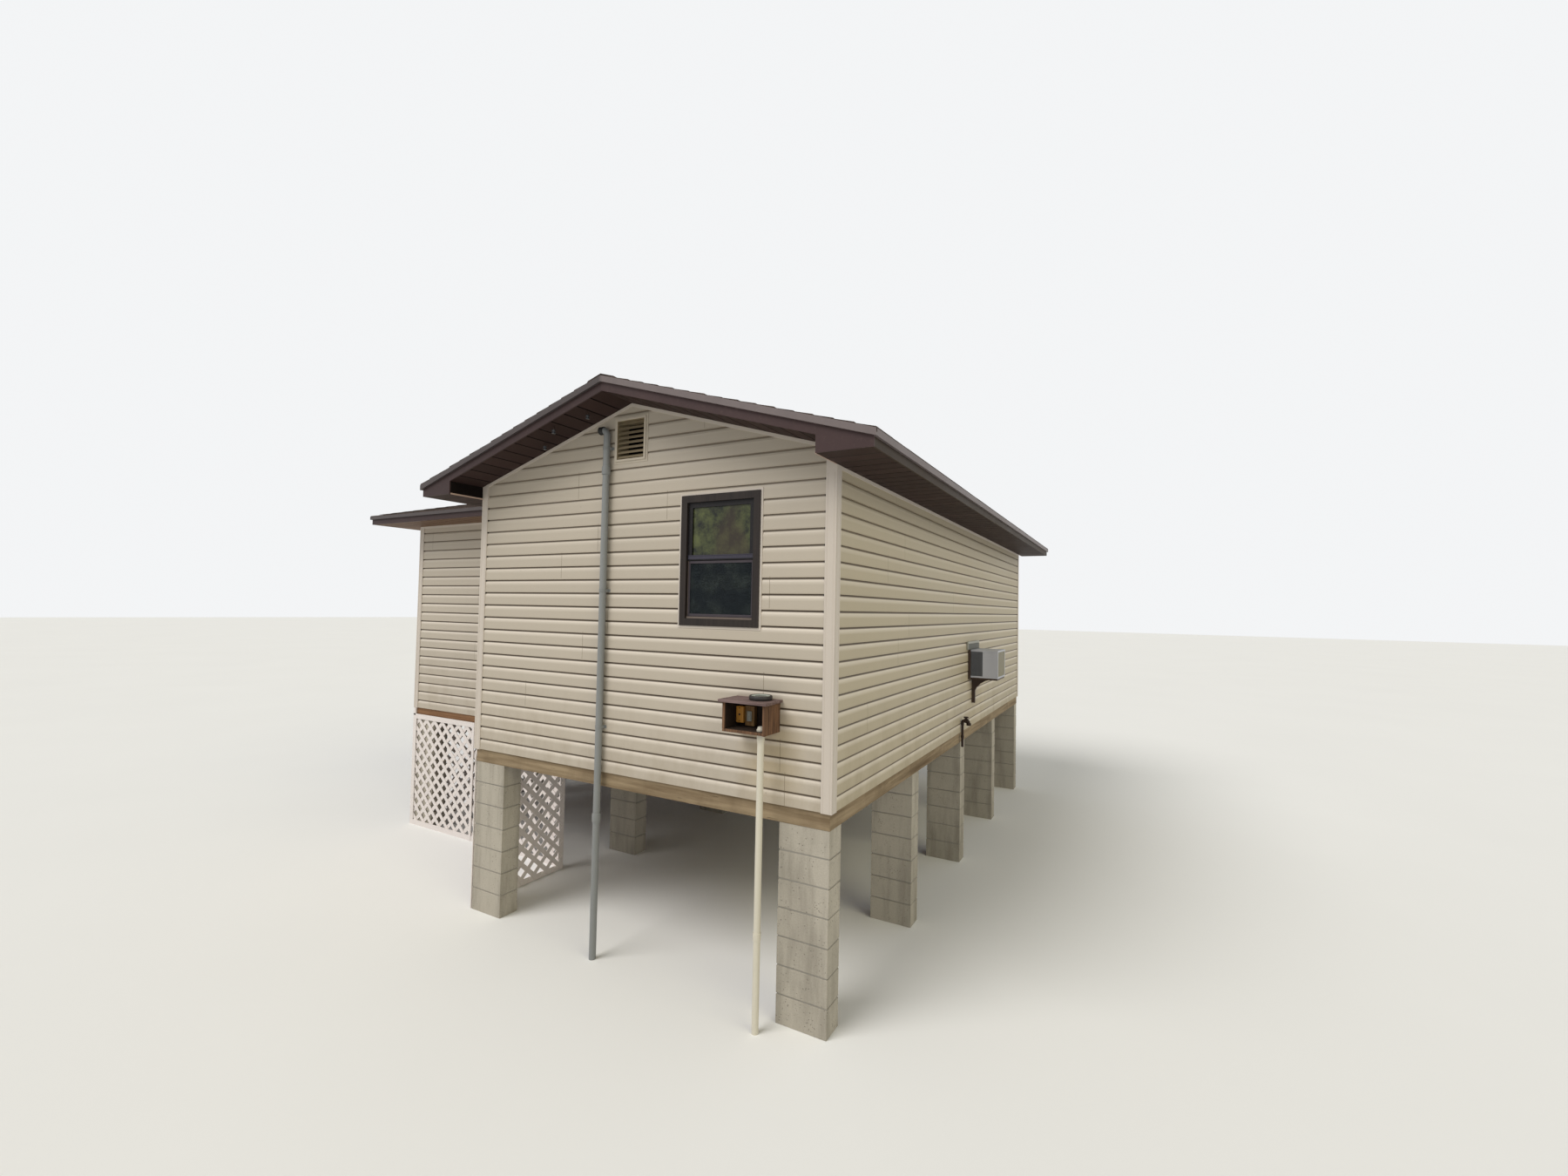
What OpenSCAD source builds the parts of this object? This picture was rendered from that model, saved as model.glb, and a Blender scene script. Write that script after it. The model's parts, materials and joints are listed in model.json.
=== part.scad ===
// Small lakeside boathouse: a gabled main room with lapped siding and a hip-roofed wing
// that stands on piers behind a white lattice skirt.
// +X is to the right seen from the gabled front, +Y is to the back, +Z is up.
// The origin is under the middle of the whole outline, at the foot of the piers.

/* [Main room] */
// Width of the main room over its siding
main_w = 3710; // [3000:10:4600]
// Length of the main room over its siding
main_l = 7390; // [6100:10:9000]

/* [Wing] */
// How far the wing stands out from the main room
wing_out = 2800; // [2400:10:3800]
// Length of the wing along the main room
wing_l = 3660; // [2900:10:4500]
// How far the wing's front wall is set back from the main room's front
wing_set_back = 1120; // [1000:10:1700]

/* [Levels] */
// Lower edge of the siding above the lowest ground
siding_foot = 1500; // [1200:10:1900]
// Rim board that shows below the siding
rim_show = 120; // [80:5:160]
// Lower edge of the siding up to the eave soffit
wall_rise = 2360; // [1950:1:2900]

/* [Walls and floor] */
// Thickness of a framed wall behind its siding
wall_t = 110; // [90:5:160]
// Depth of the rim boards and joists
rim_h = 235; // [190:5:290]
// Thickness of a rim board or joist
joist_t = 38; // [30:1:50]
// Largest distance between joists
joist_gap = 406; // [300:1:610]
// Thickness of the floor deck
floor_t = 18; // [15:1:30]

/* [Siding] */
// Height of a siding course
course = 114.3; // [100:0.1:130]
// Height of the lowest course
first_course = 104; // [90:1:125]
// How far the lower edge of a course stands off the wall
siding_butt = 16; // [12:1:20]
// How far the upper edge of a course stands off the wall
siding_thin = 6; // [4:1:9]
// How far the flat face of a course leans in towards its bevel
siding_lean = 2; // [1:1:4]
// Height of the bevel along the top of a course
siding_bevel = 30; // [18:1:45]
// Width of each face of a corner post
post_face = 82; // [60:1:110]
// How far corner posts stand proud of the siding
post_proud = 4; // [2:1:8]
// Height of the trim under the soffits
trim_h = 26; // [18:1:40]
// How far trims stand proud of the siding
trim_proud = 3; // [1:1:6]

/* [Roof] */
// Rise of the main roof for each unit across
roof_rise = 0.3; // [0.25:0.01:0.4]
// Overhang of the roof past the gable walls
gable_overhang = 345; // [280:5:420]
// Overhang of the eaves past the side walls
eave_overhang = 400; // [330:5:500]
// Height of the fascia boards
fascia_h = 90; // [70:1:120]
// Thickness of the fascia boards
fascia_t = 12; // [8:1:20]
// Thickness of the roof deck with its shingles
roof_t = 30; // [24:1:45]
// How far the roof deck runs past the fascia
roof_lap = 18; // [10:1:30]
// Shingle showing in each course, measured level
shingle_run = 138; // [110:1:170]
// Thickness of a shingle's lower edge
shingle_butt = 6; // [4:1:9]
// How far the wing's shingles lie below the level of the main roof's at the eaves
wing_step = 8; // [4:1:14]
// How far the wing's ridge lies below the main ridge, next to that step
ridge_step = 52; // [40:1:120]
// How far the drip edge reaches down below the roof deck
drip_h = 22; // [12:1:34]
// Thickness of the drip edge's sheet
drip_t = 2; // [1:0.5:4]
// Width of each side of a ridge cap
cap_side = 140; // [100:5:180]
// Thickness of a ridge cap
cap_t = 9; // [6:1:14]
// Thickness of the soffit panels
soffit_t = 12; // [9:1:18]
// Distance between the grooves of a soffit panel
groove_pitch = 152; // [100:1:205]
// Depth of a soffit groove
groove_depth = 7; // [4:1:8]
// Width of a soffit groove
groove_w = 14; // [9:1:20]

/* [Windows] */
// Width of a window
win_w = 713; // [600:1:850]
// Height of a window
win_h = 1000; // [840:1:1200]
// How far a window's upper edge lies below the eave soffit
win_drop = 132; // [60:1:400]
// Front window's middle to the right of the ridge
win_x = 902; // [600:1:1100]
// Width of the pale trim round an opening
j_trim = 18; // [12:1:26]
// Width of the window frame's face
win_frame = 55; // [40:1:70]
// Width of a sash bar
sash_w = 40; // [30:1:50]
// Thickness of a sash
sash_t = 26; // [20:1:32]
// How far the window frame stands proud of the siding
win_proud = 12; // [6:1:20]

/* [Gable vents] */
// Width of a gable vent
vent_w = 320; // [260:1:400]
// Height of a gable vent
vent_h = 353; // [280:1:420]
// How far a vent's upper edge lies below the peak of the gable soffit
vent_drop = 122; // [90:1:260]
// Width of the frame of a vent
vent_frame = 18; // [12:1:45]
// Number of louvre blades
vent_blades = 8; // [4:1:10]

/* [Doors] */
// Width of the back door
door_w = 864; // [760:1:960]
// Height of the doors
door_h = 2030; // [1900:1:2100]
// Width of the open doorway to the wing
doorway_w = 900; // [760:1:1100]

/* [Air conditioner] */
// Width of the air conditioner along the wall
ac_w = 450; // [400:1:600]
// Height of the air conditioner
ac_h = 330; // [300:1:420]
// How far the air conditioner stands out of the siding
ac_out = 335; // [260:1:380]
// Near side of the air conditioner from the front
ac_y = 3905; // [3200:1:4300]
// Lower face of the air conditioner above the siding's lower edge
ac_foot = 595; // [450:1:700]

/* [Services] */
// Outer diameter of the service mast
mast_d = 56; // [42:1:73]
// Mast's distance to the left of the ridge
mast_x = 234; // [215:1:420]
// How far the straight mast ends below the gable soffit
mast_drop = 180; // [150:1:400]
// Width of the outlet box
box_w = 345; // [280:1:420]
// Height of the outlet box
box_h = 205; // [160:1:250]
// Depth of the outlet box
box_d = 215; // [160:1:240]
// Outlet box's middle to the right of the ridge
box_x = 1278; // [900:1:1350]
// Lower face of the outlet box above the siding's lower edge
box_foot = 508; // [400:1:650]
// Thickness of the outlet box's boards
box_t = 19; // [12:1:25]
// How far the outlet box's top board stands out
box_eave = 24; // [10:1:40]
// Outer diameter of the outlet post
post_d = 48; // [33:1:60]

/* [Piers and lattice] */
// Width of a block pier
pier_w = 194; // [150:1:250]
// Length of a block pier
pier_l = 394; // [300:1:450]
// Number of piers along each side of the main room
pier_rows = 5; // [4:1:7]
// Height of the lattice's upper edge below the siding
lattice_drop = 82; // [40:1:100]
// Width of a lattice slat
slat_w = 46; // [30:1:55]
// Distance between lattice slats, middle to middle
slat_pitch = 114; // [90:1:130]
// Thickness of a lattice slat
slat_t = 6; // [4:1:9]
// Gap left between the layers of slats and the frame
slat_gap = 0.3; // [0.2:0.1:0.6]
// How far the slats stop short of a panel's edge
slat_inset = 12; // [5:1:20]
// Width of the lattice frame
lattice_frame = 62; // [40:1:90]
// Thickness of the lattice frame
lattice_frame_t = 8; // [6:1:12]

/* [Hidden] */
$fn = 18;
half_w = main_w / 2;
wall_x = half_w - siding_butt;
wall_y = siding_butt;
post_x = half_w + post_proud;
post_leg = siding_butt + post_proud;
reach = half_w + eave_overhang;
edge = reach + roof_lap;
rim_foot = siding_foot - rim_show;
floor_top = rim_foot + rim_h + floor_t;
eave_z = siding_foot + wall_rise;
deck_z = eave_z + fascia_h;
ridge_z = deck_z + roof_rise * reach + roof_t;
sky = ridge_z + 1000;

// The wing's outline over its siding
wing_x = -half_w - wing_out;
wing_front = wing_set_back;
wing_rear = wing_set_back + wing_l;
wing_mid = (wing_front + wing_rear) / 2;
wing_reach = wing_l / 2 + eave_overhang;
wing_rise = (roof_rise * reach - ridge_step) / wing_reach;
wing_roof_t = roof_t - wing_step;
wing_wall_x = wing_x + siding_butt;

door_x = -700;
back_win_x = 750;
lake_win_y = [wing_mid - wing_l / 4, wing_mid + wing_l / 4];
win_z = eave_z - win_drop - win_h;
vent_z = eave_z + roof_rise * reach - vent_drop - vent_h;

// Colours as they show
cream = [0.78, 0.73, 0.64];
brown = [0.27, 0.22, 0.21];
dark = [0.16, 0.12, 0.11];
bronze = [0.18, 0.15, 0.15];
timber = [0.52, 0.46, 0.36];
block = [0.62, 0.59, 0.55];
white = [0.92, 0.89, 0.87];
grey = [0.5, 0.52, 0.53];

// Underside of the rake soffit, of the roof deck and top of the roof at a distance across
function rake_z(x) = eave_z + roof_rise * (reach - abs(x));
function under_z(x) = deck_z + roof_rise * (reach - abs(x));
function top_z(x) = under_z(x) + roof_t;

// Everything is drawn with the ridge on X = 0 and the front wall on Y = 0, then moved here
module place() {
    translate([wing_out / 2, -main_l / 2, 0]) children();
}

// A profile in Y and Z carried along X, and one in X and Z carried along Y
module along_x(x0, x1) {
    translate([x0, 0, 0]) rotate([90, 0, 90]) linear_extrude(x1 - x0) children();
}
module along_y(y0, y1) {
    translate([0, y1, 0]) rotate([90, 0, 0]) linear_extrude(y1 - y0) children();
}

// A box given by its low and high corners
module span(low, high) {
    translate(low) cube(high - low);
}

// Shapes mirrored to both sides of the ridge, or to the front and the back gable
module both_sides() {
    children();
    mirror([1, 0, 0]) children();
}
module both_gables() {
    children();
    translate([0, main_l, 0]) mirror([0, 1, 0]) children();
}
module both_wing_ends() {
    children();
    translate([0, 2 * wing_mid, 0]) mirror([0, 1, 0]) children();
}

// Outline of a gable up to a line that lies drop below the rake soffit
module gable_outline(side, foot, drop) {
    polygon([
        [-side, foot], [side, foot], [side, rake_z(side) - drop],
        [0, rake_z(0) - drop], [-side, rake_z(side) - drop]
    ]);
}

// Space under the main roof's deck, lifted by up
module under_main(up, side) {
    along_y(-main_l, 2 * main_l) polygon([
        [-side, 0], [side, 0], [side, under_z(side) + up], [0, under_z(0) + up],
        [-side, under_z(side) + up]
    ]);
}

// Space above the underside of the main roof's deck
module over_main() {
    along_y(-main_l, 2 * main_l) polygon([
        [-edge, under_z(edge)], [0, under_z(0)], [edge, under_z(edge)], [edge, sky], [-edge, sky]
    ]);
}

// Top line of stepped shingle courses from the eave, where run is 0, up to the ridge
function steps(run) = max(1, round(run / shingle_run));
function shingle_line(run, rise, z) = [
    for (i = [0 : steps(run) - 1]) for (k = [0, 1])
        let (u = (i + k) * run / steps(run))
            [u, z + rise * u - k * shingle_butt]
];

// Stepped outline of one slope down to its own underside
module slope_outline(run, rise, z, down) {
    polygon(concat(
        shingle_line(run, rise, z),
        [[run, z + rise * run - down], [0, z - down]]
    ));
}

// Lapped siding as a profile, standing off a wall whose face is at 0 towards minus
function course_z(n) = n == 0 ? siding_foot : siding_foot + first_course + (n - 1) * course;
module siding_profile(top) {
    rows = ceil((top - siding_foot) / course) + 1;
    intersection() {
        polygon(concat(
            [[0, siding_foot]],
            [for (n = [0 : rows - 1]) each [
                [-siding_butt, course_z(n)],
                [siding_lean - siding_butt, course_z(n + 1) - siding_bevel],
                [-siding_thin, course_z(n + 1)]
            ]],
            [[0, course_z(rows)]]
        ));
        translate([-siding_butt, siding_foot]) square([siding_butt, top - siding_foot]);
    }
}

// Soffit panel lying in X and Y with grooves along Y, its underside at Z = 0
module grooved_panel(len, deep) {
    count = floor(len / groove_pitch);
    start = (len - (count - 1) * groove_pitch) / 2;
    translate([0, deep, 0]) rotate([90, 0, 0]) linear_extrude(deep) polygon(concat(
        [[0, 0]],
        [for (i = [0 : count - 1]) for (p = [[-groove_w / 2, 0], [0, groove_depth], [groove_w / 2, 0]])
            [start + i * groove_pitch + p[0], p[1]]],
        [[len, 0], [len, soffit_t], [0, soffit_t]]
    ));
}

// Foundation
module block_pier(x, y) {
    span([x - pier_l / 2, y - pier_w / 2, 0], [x + pier_l / 2, y + pier_w / 2, rim_foot]);
}
module main_piers() {
    first = wall_y + pier_w / 2;
    step = (main_l - 2 * first) / (pier_rows - 1);
    color(block) place() both_sides() for (i = [0 : pier_rows - 1])
        block_pier(wall_x - pier_l / 2, first + i * step);
}
module wing_piers() {
    inset = siding_butt + pier_w / 2;
    color(block) place() for (y = [wing_front + inset, wing_mid, wing_rear - inset])
        block_pier(wing_wall_x + pier_l / 2, y);
}

// A ring of rim boards with joists between its long sides
module floor_frame(x0, x1, y0, y1) {
    bays = ceil((y1 - y0) / joist_gap);
    pitch = (y1 - y0 - joist_t) / bays;
    for (x = [x0, x1 - joist_t])
        span([x, y0, rim_foot], [x + joist_t, y1, rim_foot + rim_h]);
    for (i = [0 : bays])
        span([x0, y0 + i * pitch, rim_foot], [x1, y0 + i * pitch + joist_t, rim_foot + rim_h]);
}
module main_floor_frame() {
    color(timber) place() floor_frame(-wall_x, wall_x, wall_y, main_l - wall_y);
}
module wing_floor_frame() {
    color(timber) place()
        floor_frame(wing_wall_x, -wall_x, wing_front + siding_butt, wing_rear - siding_butt);
}
module main_floor() {
    color(timber) place() span([-wall_x, wall_y, floor_top - floor_t], [wall_x, main_l - wall_y, floor_top]);
}
module wing_floor() {
    color(timber) place() span(
        [wing_wall_x, wing_front + siding_butt, floor_top - floor_t],
        [-wall_x, wing_rear - siding_butt, floor_top]
    );
}

// Openings cut through the gable walls, the walls' siding and the wing's lake side
module window_hole(x, margin) {
    span([x - win_w / 2 - margin, -wall_t, win_z - margin],
         [x + win_w / 2 + margin, 2 * wall_t, win_z + win_h + margin]);
}
module vent_hole(margin) {
    span([-vent_w / 2 - margin, -wall_t, vent_z - margin],
         [vent_w / 2 + margin, 2 * wall_t, vent_z + vent_h + margin]);
}
module door_hole(margin) {
    span([door_x - door_w / 2 - margin, -wall_t, floor_top],
         [door_x + door_w / 2 + margin, 2 * wall_t, floor_top + door_h + margin]);
}
module to_back() {
    translate([0, main_l, 0]) mirror([0, 1, 0]) children();
}
module to_lake(y) {
    translate([wing_x, y, 0]) rotate([0, 0, -90]) children();
}

// Framed walls
module gable_wall() {
    along_y(wall_y, wall_y + wall_t) polygon([
        [-wall_x, floor_top], [wall_x, floor_top], [wall_x, under_z(wall_x)],
        [0, under_z(0)], [-wall_x, under_z(wall_x)]
    ]);
}
module front_wall() {
    color(cream) place() difference() {
        gable_wall();
        window_hole(win_x, 0);
        vent_hole(0);
    }
}
module back_wall() {
    color(cream) place() to_back() difference() {
        gable_wall();
        window_hole(back_win_x, 0);
        vent_hole(0);
        door_hole(0);
    }
}
module side_wall() {
    along_y(wall_y + wall_t, main_l - wall_y - wall_t) polygon([
        [wall_x - wall_t, floor_top], [wall_x, floor_top], [wall_x, under_z(wall_x)],
        [wall_x - wall_t, under_z(wall_x - wall_t)]
    ]);
}
module ac_hole(margin) {
    span([half_w - 2 * wall_t, ac_y - margin, siding_foot + ac_foot - margin],
         [half_w + wall_t, ac_y + ac_w + margin, siding_foot + ac_foot + ac_h + margin]);
}
module right_wall() {
    color(cream) place() difference() {
        side_wall();
        ac_hole(0);
    }
}
module left_wall() {
    color(cream) place() difference() {
        mirror([1, 0, 0]) side_wall();
        span([-half_w, wing_mid - doorway_w / 2, floor_top],
             [-wall_x + 2 * wall_t, wing_mid + doorway_w / 2, floor_top + door_h]);
    }
}

// The wing's walls end flat, where their outer faces meet the roof deck
module wing_wall(low, high) {
    span([low[0], low[1], floor_top], [high[0], high[1], deck_z + wing_rise * (eave_overhang + siding_butt)]);
}
module wing_end_wall() {
    difference() {
        wing_wall([wing_wall_x, wing_front + siding_butt], [-wall_x, wing_front + siding_butt + wall_t]);
        over_main();
    }
}
module wing_front_wall() {
    color(cream) place() wing_end_wall();
}
module wing_back_wall() {
    color(cream) place() translate([0, 2 * wing_mid, 0]) mirror([0, 1, 0]) wing_end_wall();
}
module wing_left_wall() {
    inset = siding_butt + wall_t;
    color(cream) place() difference() {
        wing_wall([wing_wall_x, wing_front + inset], [wing_wall_x + wall_t, wing_rear - inset]);
        for (y = lake_win_y) to_lake(y) window_hole(0, 0);
    }
}

// Siding
module gable_siding() {
    inner = post_x - post_face;
    intersection() {
        along_x(-inner, inner) translate([wall_y, 0]) siding_profile(rake_z(0));
        along_y(-wall_t, wall_t) gable_outline(inner, siding_foot, trim_h);
    }
}
module front_siding() {
    color(cream) place() difference() {
        gable_siding();
        window_hole(win_x, j_trim);
        vent_hole(j_trim);
    }
}
module back_siding() {
    color(cream) place() to_back() difference() {
        gable_siding();
        window_hole(back_win_x, j_trim);
        vent_hole(j_trim);
        door_hole(j_trim);
    }
}
module side_siding(y0, y1) {
    along_y(y0, y1) translate([wall_x, 0]) mirror([1, 0]) siding_profile(eave_z - trim_h);
}
module right_siding() {
    inset = post_face - post_proud;
    color(cream) place() difference() {
        side_siding(inset, main_l - inset);
        ac_hole(0.3);
    }
}
module left_siding() {
    inset = post_face - post_proud;
    color(cream) place() mirror([1, 0, 0]) {
        side_siding(inset, wing_front + siding_butt);
        side_siding(wing_rear - siding_butt, main_l - inset);
    }
}
module wing_siding() {
    inset = post_face - post_proud;
    color(cream) place() {
        both_wing_ends() along_x(wing_x + inset, -half_w)
            translate([wing_front + siding_butt, 0]) siding_profile(eave_z - trim_h);
        difference() {
            along_y(wing_front + inset, wing_rear - inset)
                translate([wing_wall_x, 0]) siding_profile(eave_z - trim_h);
            for (y = lake_win_y) to_lake(y) window_hole(0, j_trim);
        }
    }
}

// Corner posts and the trim under the soffits
module corner_post() {
    foot = siding_foot - post_proud;
    intersection() {
        span([post_x - post_face, -post_proud, foot], [post_x, wall_y, sky]);
        along_y(-wall_t, wall_t) gable_outline(post_x, foot, 0);
    }
    span([wall_x, -post_proud, foot], [post_x, post_face - post_proud, eave_z]);
}
module wing_post() {
    foot = siding_foot - post_proud;
    x = wing_x - post_proud;
    y = wing_front - post_proud;
    span([x, y, foot], [x + post_face, y + post_leg, eave_z]);
    span([x, y, foot], [x + post_leg, y + post_face, eave_z]);
}
module corner_posts() {
    color(cream) place() {
        both_gables() both_sides() corner_post();
        both_wing_ends() wing_post();
    }
}
module soffit_trim() {
    inset = post_face - post_proud;
    color(cream) place() {
        both_gables() along_y(-trim_proud, wall_y) difference() {
            gable_outline(post_x - post_face, siding_foot, 0);
            gable_outline(main_w, 0, trim_h);
        }
        span([wall_x, inset, eave_z - trim_h], [half_w + trim_proud, main_l - inset, eave_z]);
        span([-half_w - trim_proud, inset, eave_z - trim_h], [-wall_x, wing_front + siding_butt, eave_z]);
        span([-half_w - trim_proud, wing_rear - siding_butt, eave_z - trim_h], [-wall_x, main_l - inset, eave_z]);
        both_wing_ends() span(
            [wing_x + inset, wing_front - trim_proud, eave_z - trim_h],
            [-half_w - trim_proud, wing_front + siding_butt, eave_z]
        );
        span([wing_x - trim_proud, wing_front + inset, eave_z - trim_h],
             [wing_wall_x, wing_rear - inset, eave_z]);
    }
}

// Roof decks with stepped shingle courses
module main_slope() {
    y0 = -gable_overhang - roof_lap;
    along_y(y0, main_l - y0) translate([edge, 0]) mirror([1, 0])
        slope_outline(edge, roof_rise, top_z(edge), roof_t);
}
module right_roof() {
    color(brown) place() main_slope();
}
module left_roof() {
    color(brown) place() mirror([1, 0, 0]) main_slope();
}
module wing_roof() {
    low = deck_z - wing_rise * roof_lap;
    run = wing_reach + roof_lap;
    x0 = wing_x - eave_overhang - roof_lap;
    y0 = wing_mid - run;
    count = steps(run);
    long = ceil(-x0 / (run / count)) * run / count;
    rising = shingle_line(run, wing_rise, low + wing_roof_t);
    color(brown) place() difference() {
        intersection() {
            along_x(x0, 0) translate([y0, 0]) polygon(concat(
                rising, [for (i = [len(rising) - 2 : -1 : 0]) [2 * run - rising[i][0], rising[i][1]]],
                [[2 * run, 0], [0, 0]]
            ));
            along_y(y0, y0 + 2 * run) translate([x0, 0]) polygon(concat(
                [for (i = [0 : round(long * count / run) - 1]) for (k = [0, 1])
                    [(i + k) * run / count, low + wing_roof_t + wing_rise * (i + k) * run / count - k * shingle_butt]],
                [[long, 0], [0, 0]]
            ));
        }
        intersection() {
            along_x(x0, 1) polygon([
                [y0, 0], [y0 + 2 * run, 0], [y0 + 2 * run, low],
                [wing_mid, low + wing_rise * run], [y0, low]
            ]);
            along_y(y0, y0 + 2 * run) polygon([
                [x0, 0], [1, 0], [1, low + wing_rise * (1 - x0)], [x0, low]
            ]);
        }
        under_main(roof_t, edge);
    }
}

// Caps over the main ridge, the wing's ridge and its two hips, whose caps fold a little less than the slopes
cap_ease = 0.97;
module cap_outline(rise) {
    polygon([
        [-cap_side, -rise * cap_side], [0, 0], [cap_side, -rise * cap_side],
        [cap_side, cap_t - rise * cap_side], [0, cap_t], [-cap_side, cap_t - rise * cap_side]
    ]);
}
module ridge_cap() {
    y0 = -gable_overhang - roof_lap;
    color(brown) place() along_y(y0, main_l - y0) translate([0, ridge_z]) cap_outline(roof_rise);
}
module wing_caps() {
    wing_ridge_z = deck_z + wing_roof_t + wing_rise * wing_reach;
    ridge_x = wing_x - eave_overhang + wing_reach;
    hip_rise = wing_rise / sqrt(2);
    hip_run = (wing_reach + roof_lap) * sqrt(2);
    hip_tilt = atan(hip_rise);
    color(brown) place() difference() {
        union() {
            along_x(ridge_x, 0) translate([wing_mid, wing_ridge_z]) cap_outline(wing_rise);
            for (turn = [-1, 1]) translate([ridge_x, wing_mid, wing_ridge_z]) rotate([0, 0, turn * 45])
                intersection() {
                    rotate([0, -hip_tilt, 0]) along_x(-2 * hip_run, 0) cap_outline(cap_ease * sin(hip_tilt));
                    along_y(-main_w, main_w) polygon([
                        [-hip_run + cap_side, -sky], [0, -sky], [0, sky], [-hip_run + cap_side, sky]
                    ]);
                }
        }
        under_main(roof_t, edge);
    }
}

// Fascias: the rake boards carry the front of the boxed eave returns
module rake_board() {
    along_y(-gable_overhang, fascia_t - gable_overhang) polygon([
        [-reach, eave_z], [-post_x, eave_z], [-post_x, rake_z(post_x)], [0, rake_z(0)],
        [post_x, rake_z(post_x)], [post_x, eave_z], [reach, eave_z], [reach, deck_z],
        [0, under_z(0)], [-reach, deck_z]
    ]);
}
module rake_fascias() {
    color(brown) place() both_gables() rake_board();
}
module eave_fascias() {
    y0 = fascia_t - gable_overhang;
    wing_y0 = wing_mid - wing_reach;
    wing_y1 = wing_mid + wing_reach;
    color(brown) place() {
        span([reach - fascia_t, y0, eave_z], [reach, main_l - y0, deck_z]);
        span([-reach, y0, eave_z], [fascia_t - reach, wing_y0 + fascia_t, deck_z]);
        span([-reach, wing_y1 - fascia_t, eave_z], [fascia_t - reach, main_l - y0, deck_z]);
    }
}
module wing_fascia() {
    x0 = wing_x - eave_overhang;
    y0 = wing_mid - wing_reach;
    y1 = wing_mid + wing_reach;
    color(brown) place() difference() {
        span([x0, y0, eave_z], [-reach, y1, deck_z]);
        span([x0 + fascia_t, y0 + fascia_t, 0], [0, y1 - fascia_t, sky]);
        over_main();
    }
}

// Drip edges: a strip below each edge of the roof deck with a thin sheet up over the deck's edge
module drip_profile(rise, thick) {
    low = deck_z - rise * roof_lap;
    polygon([
        [0, low - drip_h], [roof_lap + drip_t, low - drip_h], [roof_lap + drip_t, low + thick - shingle_butt],
        [roof_lap, low + thick - shingle_butt], [roof_lap, low], [0, deck_z]
    ]);
}
module rake_drip() {
    out = edge + drip_t;
    for (part = [[-gable_overhang, -drip_h, 0], [-gable_overhang - roof_lap, 0, roof_t - shingle_butt]])
        along_y(-gable_overhang - roof_lap - drip_t, part[0]) polygon([
            [-out, under_z(out) + part[1]], [0, under_z(0) + part[1]], [out, under_z(out) + part[1]],
            [out, under_z(out) + part[2]], [0, under_z(0) + part[2]], [-out, under_z(out) + part[2]]
        ]);
}
module drip_edges() {
    y0 = wing_mid - wing_reach - roof_lap;
    x0 = wing_x - eave_overhang;
    color(brown) place() {
        both_gables() rake_drip();
        along_y(-gable_overhang, main_l + gable_overhang) translate([reach, 0]) drip_profile(roof_rise, roof_t);
        both_wing_ends() mirror([1, 0, 0]) along_y(-gable_overhang, y0)
            translate([reach, 0]) drip_profile(roof_rise, roof_t);
        difference() {
            both_wing_ends() along_x(x0 - roof_lap - drip_t, -reach)
                translate([y0 + roof_lap, 0]) mirror([1, 0]) drip_profile(wing_rise, wing_roof_t);
            over_main();
        }
        mirror([1, 0, 0]) along_y(y0 + roof_lap, 2 * wing_mid - y0 - roof_lap)
            translate([-x0, 0]) drip_profile(wing_rise, wing_roof_t);
    }
}

// Soffits
module rake_soffits() {
    tilt = atan(roof_rise);
    len = post_x / cos(tilt);
    deep = gable_overhang - fascia_t + wall_y;
    color(dark) place() both_gables() intersection() {
        union() both_sides()
            translate([0, fascia_t - gable_overhang, rake_z(0)]) rotate([0, tilt, 0])
                translate([-soffit_t, 0, 0]) grooved_panel(len + 2 * soffit_t, deep);
        along_y(-gable_overhang, wall_y) polygon([
            [-post_x, rake_z(post_x)], [0, rake_z(0)], [post_x, rake_z(post_x)],
            [post_x, sky], [-post_x, sky]
        ]);
    }
}
module eave_panel(y0, y1, x0, x1) {
    translate([x1, y0, eave_z]) rotate([0, 0, 90]) grooved_panel(y1 - y0, x1 - x0);
}
module eave_soffits() {
    color(dark) place() {
        eave_panel(wall_y, main_l - wall_y, wall_x, reach - fascia_t);
        eave_panel(wall_y, wing_mid - wing_reach + fascia_t, fascia_t - reach, -wall_x);
        eave_panel(wing_mid + wing_reach - fascia_t, main_l - wall_y, fascia_t - reach, -wall_x);
    }
}
module eave_returns() {
    color(dark) place() both_gables() both_sides()
        along_y(fascia_t - gable_overhang, wall_y) polygon([
            [post_x, eave_z], [reach - fascia_t, eave_z],
            [reach - fascia_t, rake_z(reach - fascia_t)], [post_x, rake_z(post_x)]
        ]);
}
module wing_soffit() {
    x0 = wing_x - eave_overhang + fascia_t;
    y0 = wing_mid - wing_reach + fascia_t;
    y1 = wing_mid + wing_reach - fascia_t;
    color(brown) place() {
        translate([x0, y0, eave_z]) grooved_panel(-wall_x - x0, wing_front + siding_butt - y0);
        translate([x0, wing_rear - siding_butt, eave_z])
            grooved_panel(-wall_x - x0, y1 - wing_rear + siding_butt);
        eave_panel(wing_front + siding_butt, wing_rear - siding_butt, x0, wing_wall_x);
    }
}

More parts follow.
